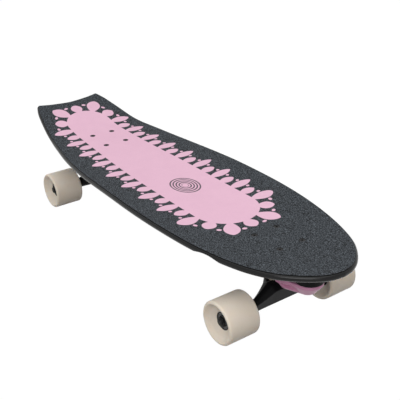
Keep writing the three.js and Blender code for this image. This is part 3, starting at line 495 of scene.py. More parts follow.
class Look(Tree):
    """A material that follows the object's own coordinates and the attributes of its meshes."""

    def __init__(self, name):
        self.material = bpy.data.materials.new(name)
        self.material.use_nodes = True
        super().__init__(self.material.node_tree)
        self.tree.nodes.clear()
        self.place = self.out("ShaderNodeTexCoord", socket="Object")
        self.round = None

    def axes(self, place=None):
        parts = self.add("ShaderNodeSeparateXYZ", None, {0: place or self.place}).outputs
        return [self.value(part) for part in parts]

    def noise(self, scale, detail=4.0, roughness=0.55, place=None):
        grain = {"Scale": scale, "Detail": detail, "Roughness": roughness}
        return self.value(self.out("ShaderNodeTexNoise", {"Vector": place or self.place, **grain}, "Fac"))

    def cells(self, scale):
        inputs = {"Vector": self.place, "Scale": scale, "Randomness": 1.0}
        return self.value(self.out("ShaderNodeTexVoronoi", inputs, "Distance"))

    def attribute(self, name, socket="Fac"):
        return self.out("ShaderNodeAttribute", None, socket, attribute_name=name)

    def band(self):
        """1 on the part of a mesh that takes another colour, such as a locking ring of another material.
        """
        return self.value(self.attribute("band"))

    def lathe(self):
        """Radius and height of a turned piece, in millimetres."""
        if not self.round:
            x, y, z = self.axes(self.attribute("form", "Vector"))
            self.round = (x * x + y * y).math("SQRT"), z
        return self.round

    def rings(self, per_mm, detail=2.0, roughness=0.5):
        """Fine noise in rings round a turned piece."""
        radius, height = [part * per_mm for part in self.lathe()]
        place = self.out("ShaderNodeCombineXYZ", {0: radius, 1: height, 2: 0.0})
        return self.noise(1.0, detail, roughness, place)

    def mixed(self, factor, first, second):
        return self.out("ShaderNodeMix", {0: factor, 6: first, 7: second}, 2, data_type="RGBA")

    def bump(self, height, strength, distance, below=None):
        inputs = {"Height": height, "Strength": strength, "Distance": distance}
        if below:
            inputs["Normal"] = below
        return self.out("ShaderNodeBump", inputs, "Normal")

    def surface(self, **sockets):
        inputs = {name.replace("_", " "): given for name, given in sockets.items()}
        shader = self.out("ShaderNodeBsdfPrincipled", inputs)
        self.add("ShaderNodeOutputMaterial", None, {"Surface": shader})
        return self.material


class Rule(Tree):
    """A Geometry Nodes tree with named inputs that makes one piece."""

    def __init__(self, name):
        super().__init__(bpy.data.node_groups.new(name, "GeometryNodeTree"))
        self.name = name
        self.tree.interface.new_socket("Geometry", in_out="OUTPUT", socket_type="NodeSocketGeometry")
        self.inlet = self.add("NodeGroupInput")
        self.given = {}

    def input(self, name, kind, value=None):
        socket = self.tree.interface.new_socket(name, in_out="INPUT", socket_type="NodeSocket" + kind)
        if value is not None:
            self.given[socket.identifier] = value
        return self.value(self.inlet.outputs[name])

    def made(self, geometry, look, base=None):
        """The piece that the tree makes, as a plain mesh with its faces outwards."""
        finish = self.input("Finish", "Material", LOOKS[look])
        solid = self.out("GeometryNodeRealizeInstances", {0: geometry})
        painted = self.out("GeometryNodeSetMaterial", {"Geometry": solid, "Material": finish})
        self.add("NodeGroupOutput", None, {0: painted})
        piece = base or linked(self.name, bpy.data.meshes.new(self.name))
        modifier = piece.modifiers.new(self.name, "NODES")
        modifier.node_group = self.tree
        for identifier, value in self.given.items():
            modifier[identifier] = value
        return welded(baked(piece))


def shade(red, green, blue):
    """Linear colour of an sRGB colour given in 0 to 255."""
    parts = [part / 255 for part in (red, green, blue)]
    linear = [p / 12.92 if p < 0.04045 else ((p + 0.055) / 1.055) ** 2.4 for p in parts]
    return (*linear, 1.0)


# Finishes


def lacquer_look():
    look = Look("black_lacquer")
    cloud = look.noise(14.0)
    ripple = look.noise(260.0, 2.0)
    dust = look.noise(900.0, 2.0).step(0.66, 0.72)
    ply = look.value(look.attribute("ply"))
    line = abs((ply * PLIES).math("FRACT") - 0.5).step(0.42, 0.5)
    colour = look.mixed(cloud, shade(11, 11, 12), shade(17, 17, 18))
    colour = look.mixed(dust * 0.08, colour, shade(110, 108, 104))
    height = look.bump(line, 0.2, 0.0002)
    normal = look.bump(ripple, 0.05, 0.0004, height)
    rough = cloud * 0.12 + dust * 0.2 + 0.14
    return look.surface(Base_Color=colour, Roughness=rough, Specular_IOR_Level=0.24, Normal=normal)


def print_mask(look):
    """The printed field: a tongue with long and short petals round it, dots and rings."""
    x, y, _ = look.axes()
    spine = x.most(FIELD_TAIL).least(FIELD_NOSE)
    past = x - spine
    from_spine = (past * past + y * y).math("SQRT")
    half = x.step(FIELD_TAPER, 0.0) * (FIELD_NOSE_HALF - FIELD_TAIL_HALF) + FIELD_TAIL_HALF
    along = spine + half * past.math("ARCTAN2", abs(y))
    tip = FIELD_NOSE + FIELD_NOSE_HALF * math.pi / 2
    turn = (along - tip) / PETAL_PITCH + 0.5
    across = (turn.math("FRACT") - 0.5) * PETAL_PITCH
    reach = turn.math("FLOOR").math("WRAP", 2.0, 0.0) * PETAL_LONGER + PETAL_SHORT
    out = from_spine - half
    share = ((out + PETAL_ROOT) / (reach + PETAL_ROOT)).most(0.0).least(1.0)
    swell = (share.math("POWER", PETAL_POINT) * math.pi).sine().most(0.0)
    width = swell.math("POWER", PETAL_FULLNESS) * PETAL_HALF
    field = (-1.0 * out).most(width - abs(across) - PETAL_TRIM).step(-INK_EDGE, INK_EDGE)
    gap = ((turn + 0.5).math("FRACT") - 0.5) * PETAL_PITCH
    beyond = out - DOT_OUT
    dot = 1.0 - (gap * gap + beyond * beyond).math("SQRT").step(DOT_RADIUS, DOT_RADIUS + DOT_EDGE)
    off = x - RINGS_X
    from_middle = (off * off + y * y * RINGS_SQUASH).math("SQRT")
    ring = abs((from_middle * RINGS_PER_METRE).math("FRACT") - 0.5).step(0.22, 0.3)
    inside = 1.0 - from_middle.step(RINGS_RADIUS, RINGS_RADIUS + RINGS_EDGE)
    rings = ring * inside * from_middle.step(RINGS_EYE, RINGS_EYE + RINGS_EDGE)
    return (field * (1.0 - rings * 0.9)).most(dot)


def grip_look():
    look = Look("grip_paper")
    grain = look.noise(1500.0, 3.0, 0.7)
    grit = look.noise(640.0, 2.0, 0.7)
    pits = look.cells(1100.0)
    broad = look.noise(7.0, 3.0)
    worn = look.noise(38.0, 5.0, 0.65)
    ground = look.mixed(broad, shade(42, 46, 50), shade(50, 54, 59))
    ground = look.mixed(grit.step(0.45, 0.62), ground, shade(14, 15, 17))
    ground = look.mixed(grit.step(0.53, 0.36) * 0.6, ground, shade(112, 119, 126))
    pink = look.mixed(worn, shade(226, 182, 204), shade(236, 193, 213))
    cover = print_mask(look) * (1.0 - grain.step(0.6, 0.78) * 0.3)
    colour = look.mixed(cover, ground, pink)
    speck = (1.0 - pits.step(0.12, 0.3)) * grain.step(0.5, 0.6)
    colour = look.mixed(speck * 0.25, colour, shade(140, 142, 145))
    # The band, the sheet's side and underside, is coloured near black, a dark line round the grip's
    # border.
    colour = look.mixed(look.band(), colour, shade(8, 8, 9))
    normal = look.bump(grain + pits * 0.6, 0.55, 0.0006)
    return look.surface(
        Base_Color=colour, Roughness=0.92 - speck * 0.35, Specular_IOR_Level=0.25, Normal=normal,
    )


def coated_look(name, shades, clouds, grain, relief, spread, dull, by_grain=False, sheen=0.5):
    """A coat of two shades in clouds over a fine grain; the clouds or the grain make it duller."""
    look = Look(name)
    cloud, fine = look.noise(clouds), look.noise(*grain)
    worn = fine if by_grain else cloud
    return look.surface(
        Base_Color=look.mixed(cloud, *shades), Roughness=worn * spread + dull,
        Specular_IOR_Level=sheen, Normal=look.bump(fine, *relief),
    )


def steel_look(name, shades, insert, metal, dull, rims=()):
    """Turned steel with fine rings; rims are radii of bright edges on a dark piece."""
    look = Look(name)
    rings = look.rings(5.0, 3.0, 0.6)
    cloud = look.noise(70.0)
    band = look.band()
    for rim in rims:
        band = band * (1.0 - look.lathe()[0].line(rim, RIM_HALF, RIM_EDGE))
    rough = rings * 0.14 + cloud * 0.08 + dull
    return look.surface(
        Base_Color=look.mixed(band, look.mixed(cloud, *shades), insert),
        Metallic=(1.0 - band) * metal, Roughness=rough + band * (0.55 - rough),
        Specular_IOR_Level=0.3, Normal=look.bump(rings, 0.15, 0.0002),
    )


def urethane_look():
    look = Look("cream_urethane")
    cloud = look.noise(26.0, 3.0)
    dust = look.noise(240.0, 4.0, 0.7).step(0.58, 0.75)
    colour = look.mixed(cloud, shade(219, 207, 191), shade(229, 218, 204))
    colour = look.mixed(dust * 0.2, colour, shade(176, 160, 142))
    # The band, the urethane round the bearings at the bottom of the mouth, is coloured near black, far
    # darker than the rest of the tyre.
    colour = look.mixed(look.band(), colour, shade(20, 19, 18))
    return look.surface(
        Base_Color=colour, Roughness=dust * 0.2 + cloud * 0.1 + 0.46, Specular_IOR_Level=0.3,
        Subsurface_Weight=0.7, Subsurface_Radius=(1.0, 0.8, 0.6), Subsurface_Scale=0.006,
        Normal=look.bump(look.rings(2.4), 0.14, 0.0003),
    )


def bushing_look():
    look = Look("bone_urethane")
    cloud = look.noise(60.0)
    colour = look.mixed(cloud, shade(158, 149, 132), shade(176, 167, 148))
    normal = look.bump(look.rings(3.0), 0.15, 0.0002)
    return look.surface(Base_Color=colour, Roughness=cloud * 0.15 + 0.35, Normal=normal)


LOOKS = {
    "deck_wood": lacquer_look(),
    "grip": grip_look(),
    "black_metal": coated_look(
        "black_powder_coat", (shade(13, 13, 14), shade(20, 20, 21)), clouds=22.0, sheen=0.07,
        grain=(700.0, 3.0, 0.6), relief=(0.22, 0.0003), spread=0.2, dull=0.36, by_grain=True,
    ),
    "arm_paint": coated_look(
        "pink_paint", (shade(186, 126, 158), shade(200, 141, 171)), clouds=30.0,
        grain=(420.0, 2.0), relief=(0.1, 0.0003), spread=0.12, dull=0.3, sheen=0.35,
    ),
    "plastic": coated_look(
        "black_plastic", (shade(26, 26, 27), shade(38, 38, 39)), clouds=40.0,
        grain=(1200.0, 2.0), relief=(0.15, 0.0002), spread=0.15, dull=0.5, by_grain=True,
    ),
    "steel": steel_look(
        "zinc_steel", (shade(150, 151, 153), shade(176, 176, 176)), shade(24, 25, 28),
        metal=1.0, dull=0.24,
    ),
    "bearing": steel_look(
        "bearing_steel", (shade(130, 131, 133), shade(156, 156, 157)), shade(17, 17, 18),
        metal=1.0, dull=0.3, rims=BEARING_RIMS,
    ),
    "dark_steel": steel_look(
        "black_steel", (shade(13, 13, 14), shade(24, 24, 25)), shade(9, 9, 9), metal=0.2, dull=0.38,
    ),
    "urethane": urethane_look(),
    "bushing": bushing_look(),
}
BODY_OF = {
    node: body
    for body, nodes in frame["record"]["behaviour"]["bodies"].items()
    for node in nodes
}
SLOT_OF = {part["node"]: part["material_slot"] for part in frame["record"]["subparts"]}


# Mesh helpers


def linked(name, mesh):
    made = bpy.data.objects.new(name, mesh)
    bpy.context.scene.collection.objects.link(made)
    return made


def welded(made):
    """The piece with its doubled points merged and its faces turned outwards."""
    skin = bmesh.new()
    skin.from_mesh(made.data)
    bmesh.ops.remove_doubles(skin, verts=skin.verts, dist=WELD)
    bmesh.ops.recalc_face_normals(skin, faces=skin.faces)
    skin.to_mesh(made.data)
    skin.free()
    return made


def shell(verts, faces):
    mesh = bpy.data.meshes.new("form")
    mesh.from_pydata([tuple(v) for v in verts], [], faces)
    return welded(linked("form", mesh))


def baked(made):
    """The piece with its modifiers made part of its mesh."""
    graph = bpy.context.evaluated_depsgraph_get()
    mesh = bpy.data.meshes.new_from_object(
        made.evaluated_get(graph), preserve_all_data_layers=True, depsgraph=graph
    )
    made.modifiers.clear()
    made.data = mesh
    return made


def at(made, *places):
    for place in reversed(places):
        made.data.transform(place)
    return made


def combined(body, tools, operation):
    for tool in tools:
        modifier = body.modifiers.new("cut", "BOOLEAN")
        modifier.operation = operation
        modifier.solver = "MANIFOLD"
        modifier.object = tool
    baked(body)
    for tool in tools:
        bpy.data.objects.remove(tool)
    return body


def union(body, *others):
    return combined(body, others, "UNION")


def cut(body, *tools):
    return combined(body, tools, "DIFFERENCE")


def cast(body, pockets, bores):
    """A casting: its forms and pockets with soft edges, then its bores machined sharp."""
    cut(body, *pockets)
    skin = body.modifiers.new("skin", "REMESH")
    skin.mode = "VOXEL"
    skin.voxel_size = CAST_GRAIN
    soft = body.modifiers.new("soft", "SMOOTH")
    soft.factor = CAST_SOFTNESS
    soft.iterations = CAST_PASSES
    baked(body)
    return cut(body, *bores)


def softened(points, closed, steps=5):
    """The outline with its corners rounded; a point's third number is its corner's radius."""
    soft = []
    for i, (x, y, *extra) in enumerate(points):
        here = Vector((x, y))
        if not extra or (not closed and i in (0, len(points) - 1)):
            soft.append((x, y))
            continue
        before = Vector(points[i - 1][:2]) - here
        after = Vector(points[(i + 1) % len(points)][:2]) - here
        reach = extra[0] / math.tan(before.angle(after) / 2)
        reach = min(reach, 0.49 * before.length, 0.49 * after.length)
        start, end = here + before.normalized() * reach, here + after.normalized() * reach
        for k in range(steps + 1):
            t = k / steps
            soft.append(tuple(start * (1 - t) ** 2 + here * (2 * t * (1 - t)) + end * t**2))
    return soft


def turned(profile, steps=TURNED_FACETS):
    """A body turned about Z from radius and height; a profile off the axis closes on itself."""
    closed = profile[0][0] > 0
    outline = softened(profile, closed)
    count = len(outline)
    verts, faces = [], []
    for k in range(steps):
        angle = 2 * math.pi * k / steps
        verts += [(r * math.cos(angle), r * math.sin(angle), z) for r, z in outline]
        for i in range(count if closed else count - 1):
            n = (i + 1) % count
            a, b = k * count, (k + 1) % steps * count
            faces.append((a + i, a + n, b + n, b + i))
    return shell(verts, faces)


def spun(*side, steps=TURNED_FACETS):
    """A solid turned about Z from its side, given from one end to the other."""
    return turned([(0, side[0][1]), *side, (0, side[-1][1])], steps)


def rod(radius, low, high, steps=TURNED_FACETS):
    return spun((radius, low), (radius, high), steps=steps)


def on_pin(radius, low, high, *places):
    """A rod on the kingpin's axis."""
    return at(rod(radius, low, high), ON_KINGPIN, *places)


def lofted(*outlines):
    count = len(outlines[0])
    faces = [tuple(range(count)), tuple(range(len(outlines) * count - count, len(outlines) * count))]
    for layer in range(len(outlines) - 1):
        for i in range(count):
            a, b = layer * count + i, layer * count + (i + 1) % count
            faces.append((a, b, b + count, a + count))
    return shell([point for outline in outlines for point in outline], faces)


def level(outline, height):
    return [(x, y, height) for x, y in outline]


def prism(outline, low, high):
    return lofted(level(outline, low), level(outline, high))


def polar(radius, turn):
    return radius * math.cos(turn), radius * math.sin(turn)


def rectangle(low_x, high_x, half_y):
    return [(low_x, -half_y), (high_x, -half_y), (high_x, half_y), (low_x, half_y)]


def oblong(half_x, half_y, corner):
    corners = ((1, -1), (1, 1), (-1, 1), (-1, -1))
    return softened([(x * half_x, y * half_y, corner) for x, y in corners], True, 10)


def arc(centre_x, radius, half_angle, steps=28):
    spots = [polar(radius, half_angle * (2 * k / steps - 1)) for k in range(steps + 1)]
    return [(centre_x + x, y) for x, y in spots]


def thread(radius, low, high, pitch):
    """The side of a threaded rod, from low to high, as crests and roots."""
    count = round((high - low) / pitch)
    step = (high - low) / count
    root = radius - 0.5 * pitch
    points = []
    for k in range(count):
        points += [(root, low + k * step), (radius, low + (k + 0.5) * step)]
    return points + [(root, high)]


def marked(made, name, rule):
    """Stores a number on every point of a mesh, from a rule on the point's place."""
    layer = made.data.attributes.new(name, "FLOAT", "POINT")
    layer.data.foreach_set("value", [float(rule(vertex.co)) for vertex in made.data.vertices])
    return made


def formed(made):
    """Keeps the points' places in the piece's own frame, which the turned finishes follow."""
    mesh = made.data
    if "form" not in mesh.attributes:
        layer = mesh.attributes.new("form", "FLOAT_VECTOR", "POINT")
        layer.data.foreach_set("vector", [part for vertex in mesh.vertices for part in vertex.co])
    return made


def settled(made, place, *nodes, slot=None, look=None, bends=False):
    """Bakes the place into the mesh and paints it; it rides with its nodes unless bends is set, and
    nothing then bends it.
    """
    formed(made)
    mesh = made.data
    mesh.transform(Matrix.Scale(MM, 4) @ place)
    mesh.shade_smooth()
    mesh.set_sharp_from_angle(angle=SHARP_ANGLE)
    slot = slot or SLOT_OF[nodes[0]]
    mesh.materials.clear()
    mesh.materials.append(LOOKS[look or slot])
    made.name = nodes[0] + "_form"
    if not bends:
        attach(made, BODY_OF[nodes[0]])
    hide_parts(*nodes)
    return made


# Deck


def eased(low, high, x):
    t = min(max((x - low) / (high - low), 0.0), 1.0)
    return t * t * (3.0 - 2.0 * t)


def deck_top(x, y):
    """Top of the wood: rocker between the trucks, a kicked tail and a concave in the middle."""
    along = (x - MIDDLE_X) / (TRUCK_SPACING / 2)
    behind = max(0.0, REAR_TRUCK_X - KICK_START - x)
    bent = min(behind, KICK_BEND)
    kick = KICK_SLOPE * (bent * bent / (2 * KICK_BEND) + behind - bent)
    rise, full, fade, end = [REAR_TRUCK_X + share * TRUCK_SPACING for share in CONCAVE_SHARES]
    concave = CONCAVE_DEPTH * eased(rise, full, x) * (1.0 - eased(fade, end, x))
    nose = NOSE_RISE * eased(NOSE_X - NOSE_RISE_LENGTH, NOSE_X, x)
    return DECK_LOWEST + ROCKER_RISE * along**2 + kick + nose + concave * (2 * y / DECK_WIDTH) ** 2


def outline_points():
    tail = [Vector((TAIL_X + deep * TAIL_NOTCH, wide * TAIL_TIP_SPAN / 2)) for deep, wide in TAIL_EDGE]
    side = [Vector((TAIL_X + along * DECK_LENGTH, wide * DECK_WIDTH / 2)) for along, wide in SIDE_EDGE]
    return tail + side


def spline_at(points, share):
    """A point of the smooth curve through the points, each stretch taking an equal share."""
    reach = share * (len(points) - 1)
    i = min(int(reach), len(points) - 2)
    t = reach - i
    before, start, end = points[max(i - 1, 0)], points[i], points[i + 1]
    after = points[min(i + 2, len(points) - 1)]
    leave, arrive = (end - before) / 2, (after - start) / 2
    cubic = (2 * start - 2 * end + leave + arrive) * t**3
    square = (3 * end - 3 * start - 2 * leave - arrive) * t**2
    return cubic + square + leave * t + start


def rim_points(points, low, high, steps, inset):
    """Points of a stretch of the outline pulled in by inset, each with its outward direction."""
    rim = []
    for k in range(steps + 1):
        share = low + (high - low) * k / steps
        ahead = spline_at(points, min(share + NUDGE, 1.0)) - spline_at(points, max(share - NUDGE, 0.0))
        out = Vector((-ahead.y, ahead.x)).normalized()
        if share == 0:
            out = Vector((-1.0, 0.0))
        if share == 1:
            out = Vector((1.0, 0.0))
        rim.append((spline_at(points, share) - out * inset, out))
    return rim


def sheet_places(tail, side, columns, rows):
    """Places of a sheet's grid: rows from the tail to the nose, columns from right to left."""
    tip = side[0][0]
    places = []
    for row, (spot, _) in enumerate(side):
        fade = max(0.0, 1.0 - row / (TAIL_FADE * len(side))) ** 2
        for column in range(-columns, columns + 1):
            corner = tail[abs(column)][0]
            sign = (column > 0) - (column < 0)
            y = sign * corner.y / tip.y * spot.y if row < rows else 0.0
            places.append((spot.x + (corner.x - tip.x) * fade, y))
    return places


def sheet_loop(tail, side, columns, rows):
    """The grid's rim in order, each point with its outward direction."""
    width = 2 * columns + 1
    loop = []
    for column in range(-columns, columns + 1):
        out = tail[abs(column)][1]
        loop.append((columns + column, out.x, math.copysign(out.y, column or 1)))
    loop += [(row * width + 2 * columns, side[row][1].x, side[row][1].y) for row in range(1, rows + 1)]
    loop += [(row * width, side[row][1].x, -side[row][1].y) for row in range(rows - 1, 0, -1)]
    return loop


def board_sheet(inset, lift, thickness, edge, edge_steps):
    """A sheet that follows the deck's top, lift above it, with its rim rounded by edge."""
    points, columns, rows = outline_points(), SHEET_COLUMNS, SHEET_ROWS
    tip_share = (len(TAIL_EDGE) - 1) / (len(points) - 1)
    tail = rim_points(points, 0.0, tip_share, columns, inset + edge)
    side = rim_points(points, tip_share, 1.0, rows, inset + edge)
    places = sheet_places(tail, side, columns, rows)
    loop = sheet_loop(tail, side, columns, rows)
    count = len(places)
    verts, faces = [], []

    def add(x, y, below):
        verts.append((x, y, deck_top(x, y) + lift + thickness - below))
        return len(verts) - 1

    for below in (0.0, thickness):
        for x, y in places:
            add(x, y, below)
    for row in range(rows):
        for column in range(2 * columns):
            a = row * (2 * columns + 1) + column
            quad = (a, a + 2 * columns + 1, a + 2 * columns + 2, a + 1)
            faces.append(quad)
            faces.append(tuple(i + count for i in reversed(quad)))
    turns = [math.pi / 2 * (k + 1) / edge_steps for k in range(edge_steps)]
    drops = [(edge * math.sin(turn), edge * (1 - math.cos(turn))) for turn in turns]
    drops += [(reach, thickness - drop) for reach, drop in reversed(drops)]
    bands = [[i for i, _, _ in loop]]
    for reach, drop in drops:
        bands.append([add(places[i][0] + reach * x, places[i][1] + reach * y, drop) for i, x, y in loop])
    bands.append([i + count for i, _, _ in loop])
    for upper, lower in zip(bands, bands[1:]):
        for k in range(len(loop)):
            n = (k + 1) % len(loop)
            faces.append((upper[k], upper[n], lower[n], lower[k]))
    return shell(verts, faces)


def bolt_places():
    return [(x * BOLT_LONG / 2, y * BOLT_WIDE / 2) for x in (-1, 1) for y in (-1, 1)]


def drills(throat, mouth):
    """Countersunk drills for the eight bolts, in the deck's own place."""
    side = [
        (throat, -OVER), (throat, GRIP_TOP - BOLT_HEAD_DEPTH), (mouth, GRIP_TOP - HEAD_SINK),
        (mouth, GRIP_TOP + OVER),
    ]
    return [
        at(spun(*side, steps=SMALL_FACETS), PLATE[end], moved(x, y))
        for end in ENDS
        for x, y in bolt_places()
    ]


def wheel_well(side):
    """The hollow ground into the board's underside over a front wheel."""
    curve = [polar(1, math.pi * (k / WELL_STEPS - 0.5)) for k in range(1, WELL_STEPS)]
    ball = turned([(0, -1), *curve, (0, 1)], 3 * WELL_STEPS)
    under = deck_top(WELL_X, WELL_Y) - DECK_THICKNESS
    size = Matrix.Diagonal((WELL_BALL, WELL_STRETCH * WELL_BALL, WELL_BALL, 1))
    return at(ball, moved(WELL_X, side * WELL_Y, under + WELL_DEPTH - WELL_BALL), size)


def build_deck():
    board = board_sheet(0.0, -DECK_THICKNESS, DECK_THICKNESS, DECK_EDGE_ROUND, edge_steps=6)
    cut(board, *drills(BOLT_RADIUS + EASE, BOLT_HEAD + EASE), wheel_well(-1), wheel_well(1))
    marked(board, "ply", lambda p: (deck_top(p.x, p.y) - p.z) / DECK_THICKNESS)
    settled(board, IDENTITY, "deck_board")
    grip = board_sheet(GRIP_INSET, HAIR, GRIP_THICKNESS - HAIR, GRIP_EDGE, edge_steps=2)
    cut(grip, *drills(BOLT_RADIUS + EASE, BOLT_HEAD + GRIP_EASE))
    # The band is the sheet's side and underside; the finish colours it near black.
    marked(grip, "band", lambda p: deck_top(p.x, p.y) + GRIP_THICKNESS - p.z > HAIR)
    settled(grip, IDENTITY, "grip_sheet")


# Fasteners


def hexagon(flats):
    return [polar(flats / math.sqrt(3), math.pi / 3 * k) for k in range(6)]


def lock_nut(flats, height, bore):
    """A hexagon nut on its foot at 0, with turned chamfers and a collar round its locking ring."""
    half, corner, hexes = flats / 2, flats / math.sqrt(3), NUT_HEX_SHARE * height
    face, ring = NUT_FACE_SHARE * half, bore + NUT_RING_SHARE * (half - bore)
    rise = (corner - face) * math.tan(math.radians(30))
    nut = prism(hexagon(flats), -OVER, hexes + OVER)
    combined(nut, [spun((face, 0), (corner, rise), (corner, hexes - rise), (face, hexes))], "INTERSECT")
    collar, curl = NUT_COLLAR_SHARE * half, NUT_CURL_SHARE * half
    union(nut, spun((collar, hexes - 1), (collar, height, curl)))
    cut(nut, rod(ring, hexes, height + OVER), rod(bore, -OVER, height + OVER))
    low, high, wide = hexes - 0.5, height - NUT_RING_SINK, ring + LAP
    union(nut, turned([(bore, low), (wide, low), (wide, high, 0.3), (bore, high, 0.3)]))
    return marked(nut, "band", lambda p: p.z > hexes - 0.2 and math.hypot(p.x, p.y) < ring + 0.04)


def deck_bolt(end):
    """A countersunk bolt with a hexagon key's socket, its axis on the truck's Z."""
    top, neck = GRIP_TOP - HEAD_SINK - 0.05, GRIP_TOP - BOLT_HEAD_DEPTH
    root = -(CLAMPED[end] + 2 * SEAT + DECK_NUT_HEIGHT + BOLT_TIP)
    side = thread(BOLT_RADIUS, root, root + BOLT_THREAD, BOLT_PITCH)
    head = [(BOLT_HEAD, top - HEAD_CHAMFER), (BOLT_HEAD - HEAD_CHAMFER, top, HEAD_CHAMFER)]
    bolt = spun(*side, (BOLT_RADIUS, neck), *head, steps=SMALL_FACETS)
    return formed(cut(bolt, prism(hexagon(2 * BOLT_KEY), top - BOLT_TIP, top + OVER)))


def deck_nut(end):
    nut = lock_nut(DECK_NUT_FLATS, DECK_NUT_HEIGHT, BOLT_RADIUS)
    return formed(at(nut, moved(z=-(CLAMPED[end] + 2 * SEAT)), FLIP))


def on_pattern(name, fastener, look, seed):
    """Four copies of a fastener on a truck's bolt pattern, each turned its own way."""
    rule = Rule(name)
    long = rule.input("Spacing Long", "Float", BOLT_LONG)
    wide = rule.input("Spacing Wide", "Float", BOLT_WIDE)
    part = rule.input("Fastener", "Object", fastener)
    chance = rule.input("Seed", "Int", seed)
    sizes = {"Size X": long, "Size Y": wide, "Vertices X": 2, "Vertices Y": 2}
    grid = rule.out("GeometryNodeMeshGrid", sizes)
    turns = {2: 0.0, 3: 2 * math.pi, "Seed": chance}
    turn = rule.out("FunctionNodeRandomValue", turns, 1, data_type="FLOAT")
    copy = rule.out("GeometryNodeObjectInfo", {"Object": part, "As Instance": True}, "Geometry")
    spin = rule.out("ShaderNodeCombineXYZ", {2: turn})
    inputs = {"Points": grid, "Instance": copy, "Rotation": spin}
    made = rule.made(rule.out("GeometryNodeInstanceOnPoints", inputs), look)
    bpy.data.objects.remove(fastener)
    return made


def build_deck_bolts(end, seed):
    fasteners = (("bolt", deck_bolt(end), "dark_steel"), ("nut", deck_nut(end), "steel"))
    for turn, (kind, fastener, look) in enumerate(fasteners):
        made = on_pattern(f"{end}_deck_{kind}s", fastener, look, seed + turn)
        settled(made, PLATE[end], *[f"{end}_deck_{kind}_{k}" for k in range(1, 5)])


# Hanger


def beam_outline(share):
    """The beam's section at a share of its half span; past its ends it shrinks to the shoulder."""
    away = abs(share)
    rise = min(max((1 - away) / (1 - BEAM_YOKE), 0.0), 1.0) ** BEAM_SWELL
    end = SHOULDER + (BEAM_END - SHOULDER) * (1 - eased(1.0, BEAM_SHRUNK, away))
    outline = []
    for (out, up), (middle_out, middle_up) in zip(BEAM_END_SHARES, BEAM_MIDDLE_SHARES):
        x = out * end + (middle_out * BEAM_RIDGE - out * end) * rise
        z = up * end + (middle_up * BEAM_RIDGE - up * end) * rise
        outline.append((x, share * BEAM_SPAN / 2, z))
    return outline


def hanger_shoulder(side):
    return at(rod(SHOULDER, SHOULDER_ROOT, HANGER_WIDTH / 2), about_x(-side * math.pi / 2))


def pivot_stem():
    neck, tip = PIVOT_REACH - CUP_MOUTH - SEAT, PIVOT_REACH + PIVOT_TIP
    stem = spun((PIVOT_STEM, RING_RADIUS / 2), (PIVOT_TIP, neck), (PIVOT_TIP, tip, PIVOT_TIP))
    return at(stem, ON_STEER)


def build_hanger(end):
    stations = [2 * BEAM_REACH * k / BEAM_STATIONS - BEAM_REACH for k in range(BEAM_STATIONS + 1)]
    seat, chamfer, deep = RING_RADIUS - RING_WALL, RING_WALL / 3, -2 * RING_RADIUS
    foot = [(RING_RADIUS - chamfer, -RING_DEPTH), (RING_RADIUS, chamfer - RING_DEPTH)]
    ring = spun(*foot, (RING_RADIUS, RING_DEPTH))
    body = lofted(*[beam_outline(share) for share in stations])
    union(body, hanger_shoulder(-1), hanger_shoulder(1), at(ring, ON_KINGPIN), pivot_stem())
    pockets = [
        on_pin(seat - CAST_SPARE, RING_WEB + CAST_SPARE, KINGPIN_SEAT),
        on_pin(RING_RADIUS - RING_WALL / 2, RING_DEPTH, PIVOT_REACH),
        on_pin(seat - CAST_SPARE, deep, -RING_WEB - CAST_SPARE),
        on_pin(seat, deep, -RING_DEPTH, Matrix.Diagonal((1, LEAN_RELIEF, 1, 1))),
    ]
    bores = [
        on_pin(seat, RING_WEB, KINGPIN_SEAT),
        on_pin(seat, deep, -RING_WEB),
        on_pin(RING_HOLE, -RING_RADIUS, RING_RADIUS),
        at(rod(AXLE_RADIUS + FIT, -HANGER_WIDTH, HANGER_WIDTH), ACROSS),
    ]
    settled(cast(body, pockets, bores), AXLE[end], f"{end}_hanger")


def build_axle(end):
    threaded, tip = AXLE_HALF - BEARING_WIDTH - AXLE_NUT_HEIGHT, AXLE_HALF - THREAD_END
    right = thread(AXLE_RADIUS - HAIR, threaded, tip, AXLE_PITCH)
    right.append((AXLE_RADIUS - AXLE_PITCH, AXLE_HALF))
    left = [(radius, -height) for radius, height in reversed(right)]
    settled(spun(*left, *right), AXLE[end] @ ACROSS, f"{end}_axle", slot="dark_steel")


# Kingpin stack


def kingpin_head_at(end):
    sunk = KINGPIN_HEAD * math.sin(KINGPIN_LEAN) + RUN
    return (HEAD_TOP[end] - RING_UP - sunk) / math.cos(KINGPIN_LEAN) - KINGPIN_HEAD_HEIGHT


def kingpin(end):
    head = kingpin_head_at(end)
    top, flats = head + KINGPIN_HEAD_HEIGHT, KINGPIN_HEAD * math.sqrt(3)
    low, high = KINGPIN_END + THREAD_END, KINGPIN_END + KINGPIN_THREAD
    side = thread(KINGPIN_RADIUS - HAIR, low, high, KINGPIN_PITCH)
    pin = spun((KINGPIN_RADIUS - KINGPIN_PITCH, KINGPIN_END), *side, (KINGPIN_RADIUS, head + 1))
    cap = prism(hexagon(flats), head, top)
    limit = spun((KINGPIN_HEAD, head - 1), (KINGPIN_HEAD, top - 1), (KINGPIN_CROWN * flats, top))
    combined(cap, [limit], "INTERSECT")
    return union(pin, cap)


def upper_bushing():
    bore, top = KINGPIN_RADIUS + FIT, UPPER_BUSHING + UPPER_BUSHING_HEIGHT
    waist, middle = BUSHING_RADIUS - BUSHING_WAIST, UPPER_BUSHING + UPPER_BUSHING_HEIGHT / 2
    return turned([
        (bore, UPPER_BUSHING), (BUSHING_RADIUS, UPPER_BUSHING, 0.8),
        (BUSHING_RADIUS, middle - BUSHING_WAIST, 2.5), (waist, middle, 3.0),
        (BUSHING_RADIUS - BUSHING_WAIST / 2, top, 1.0), (bore, top),
    ])


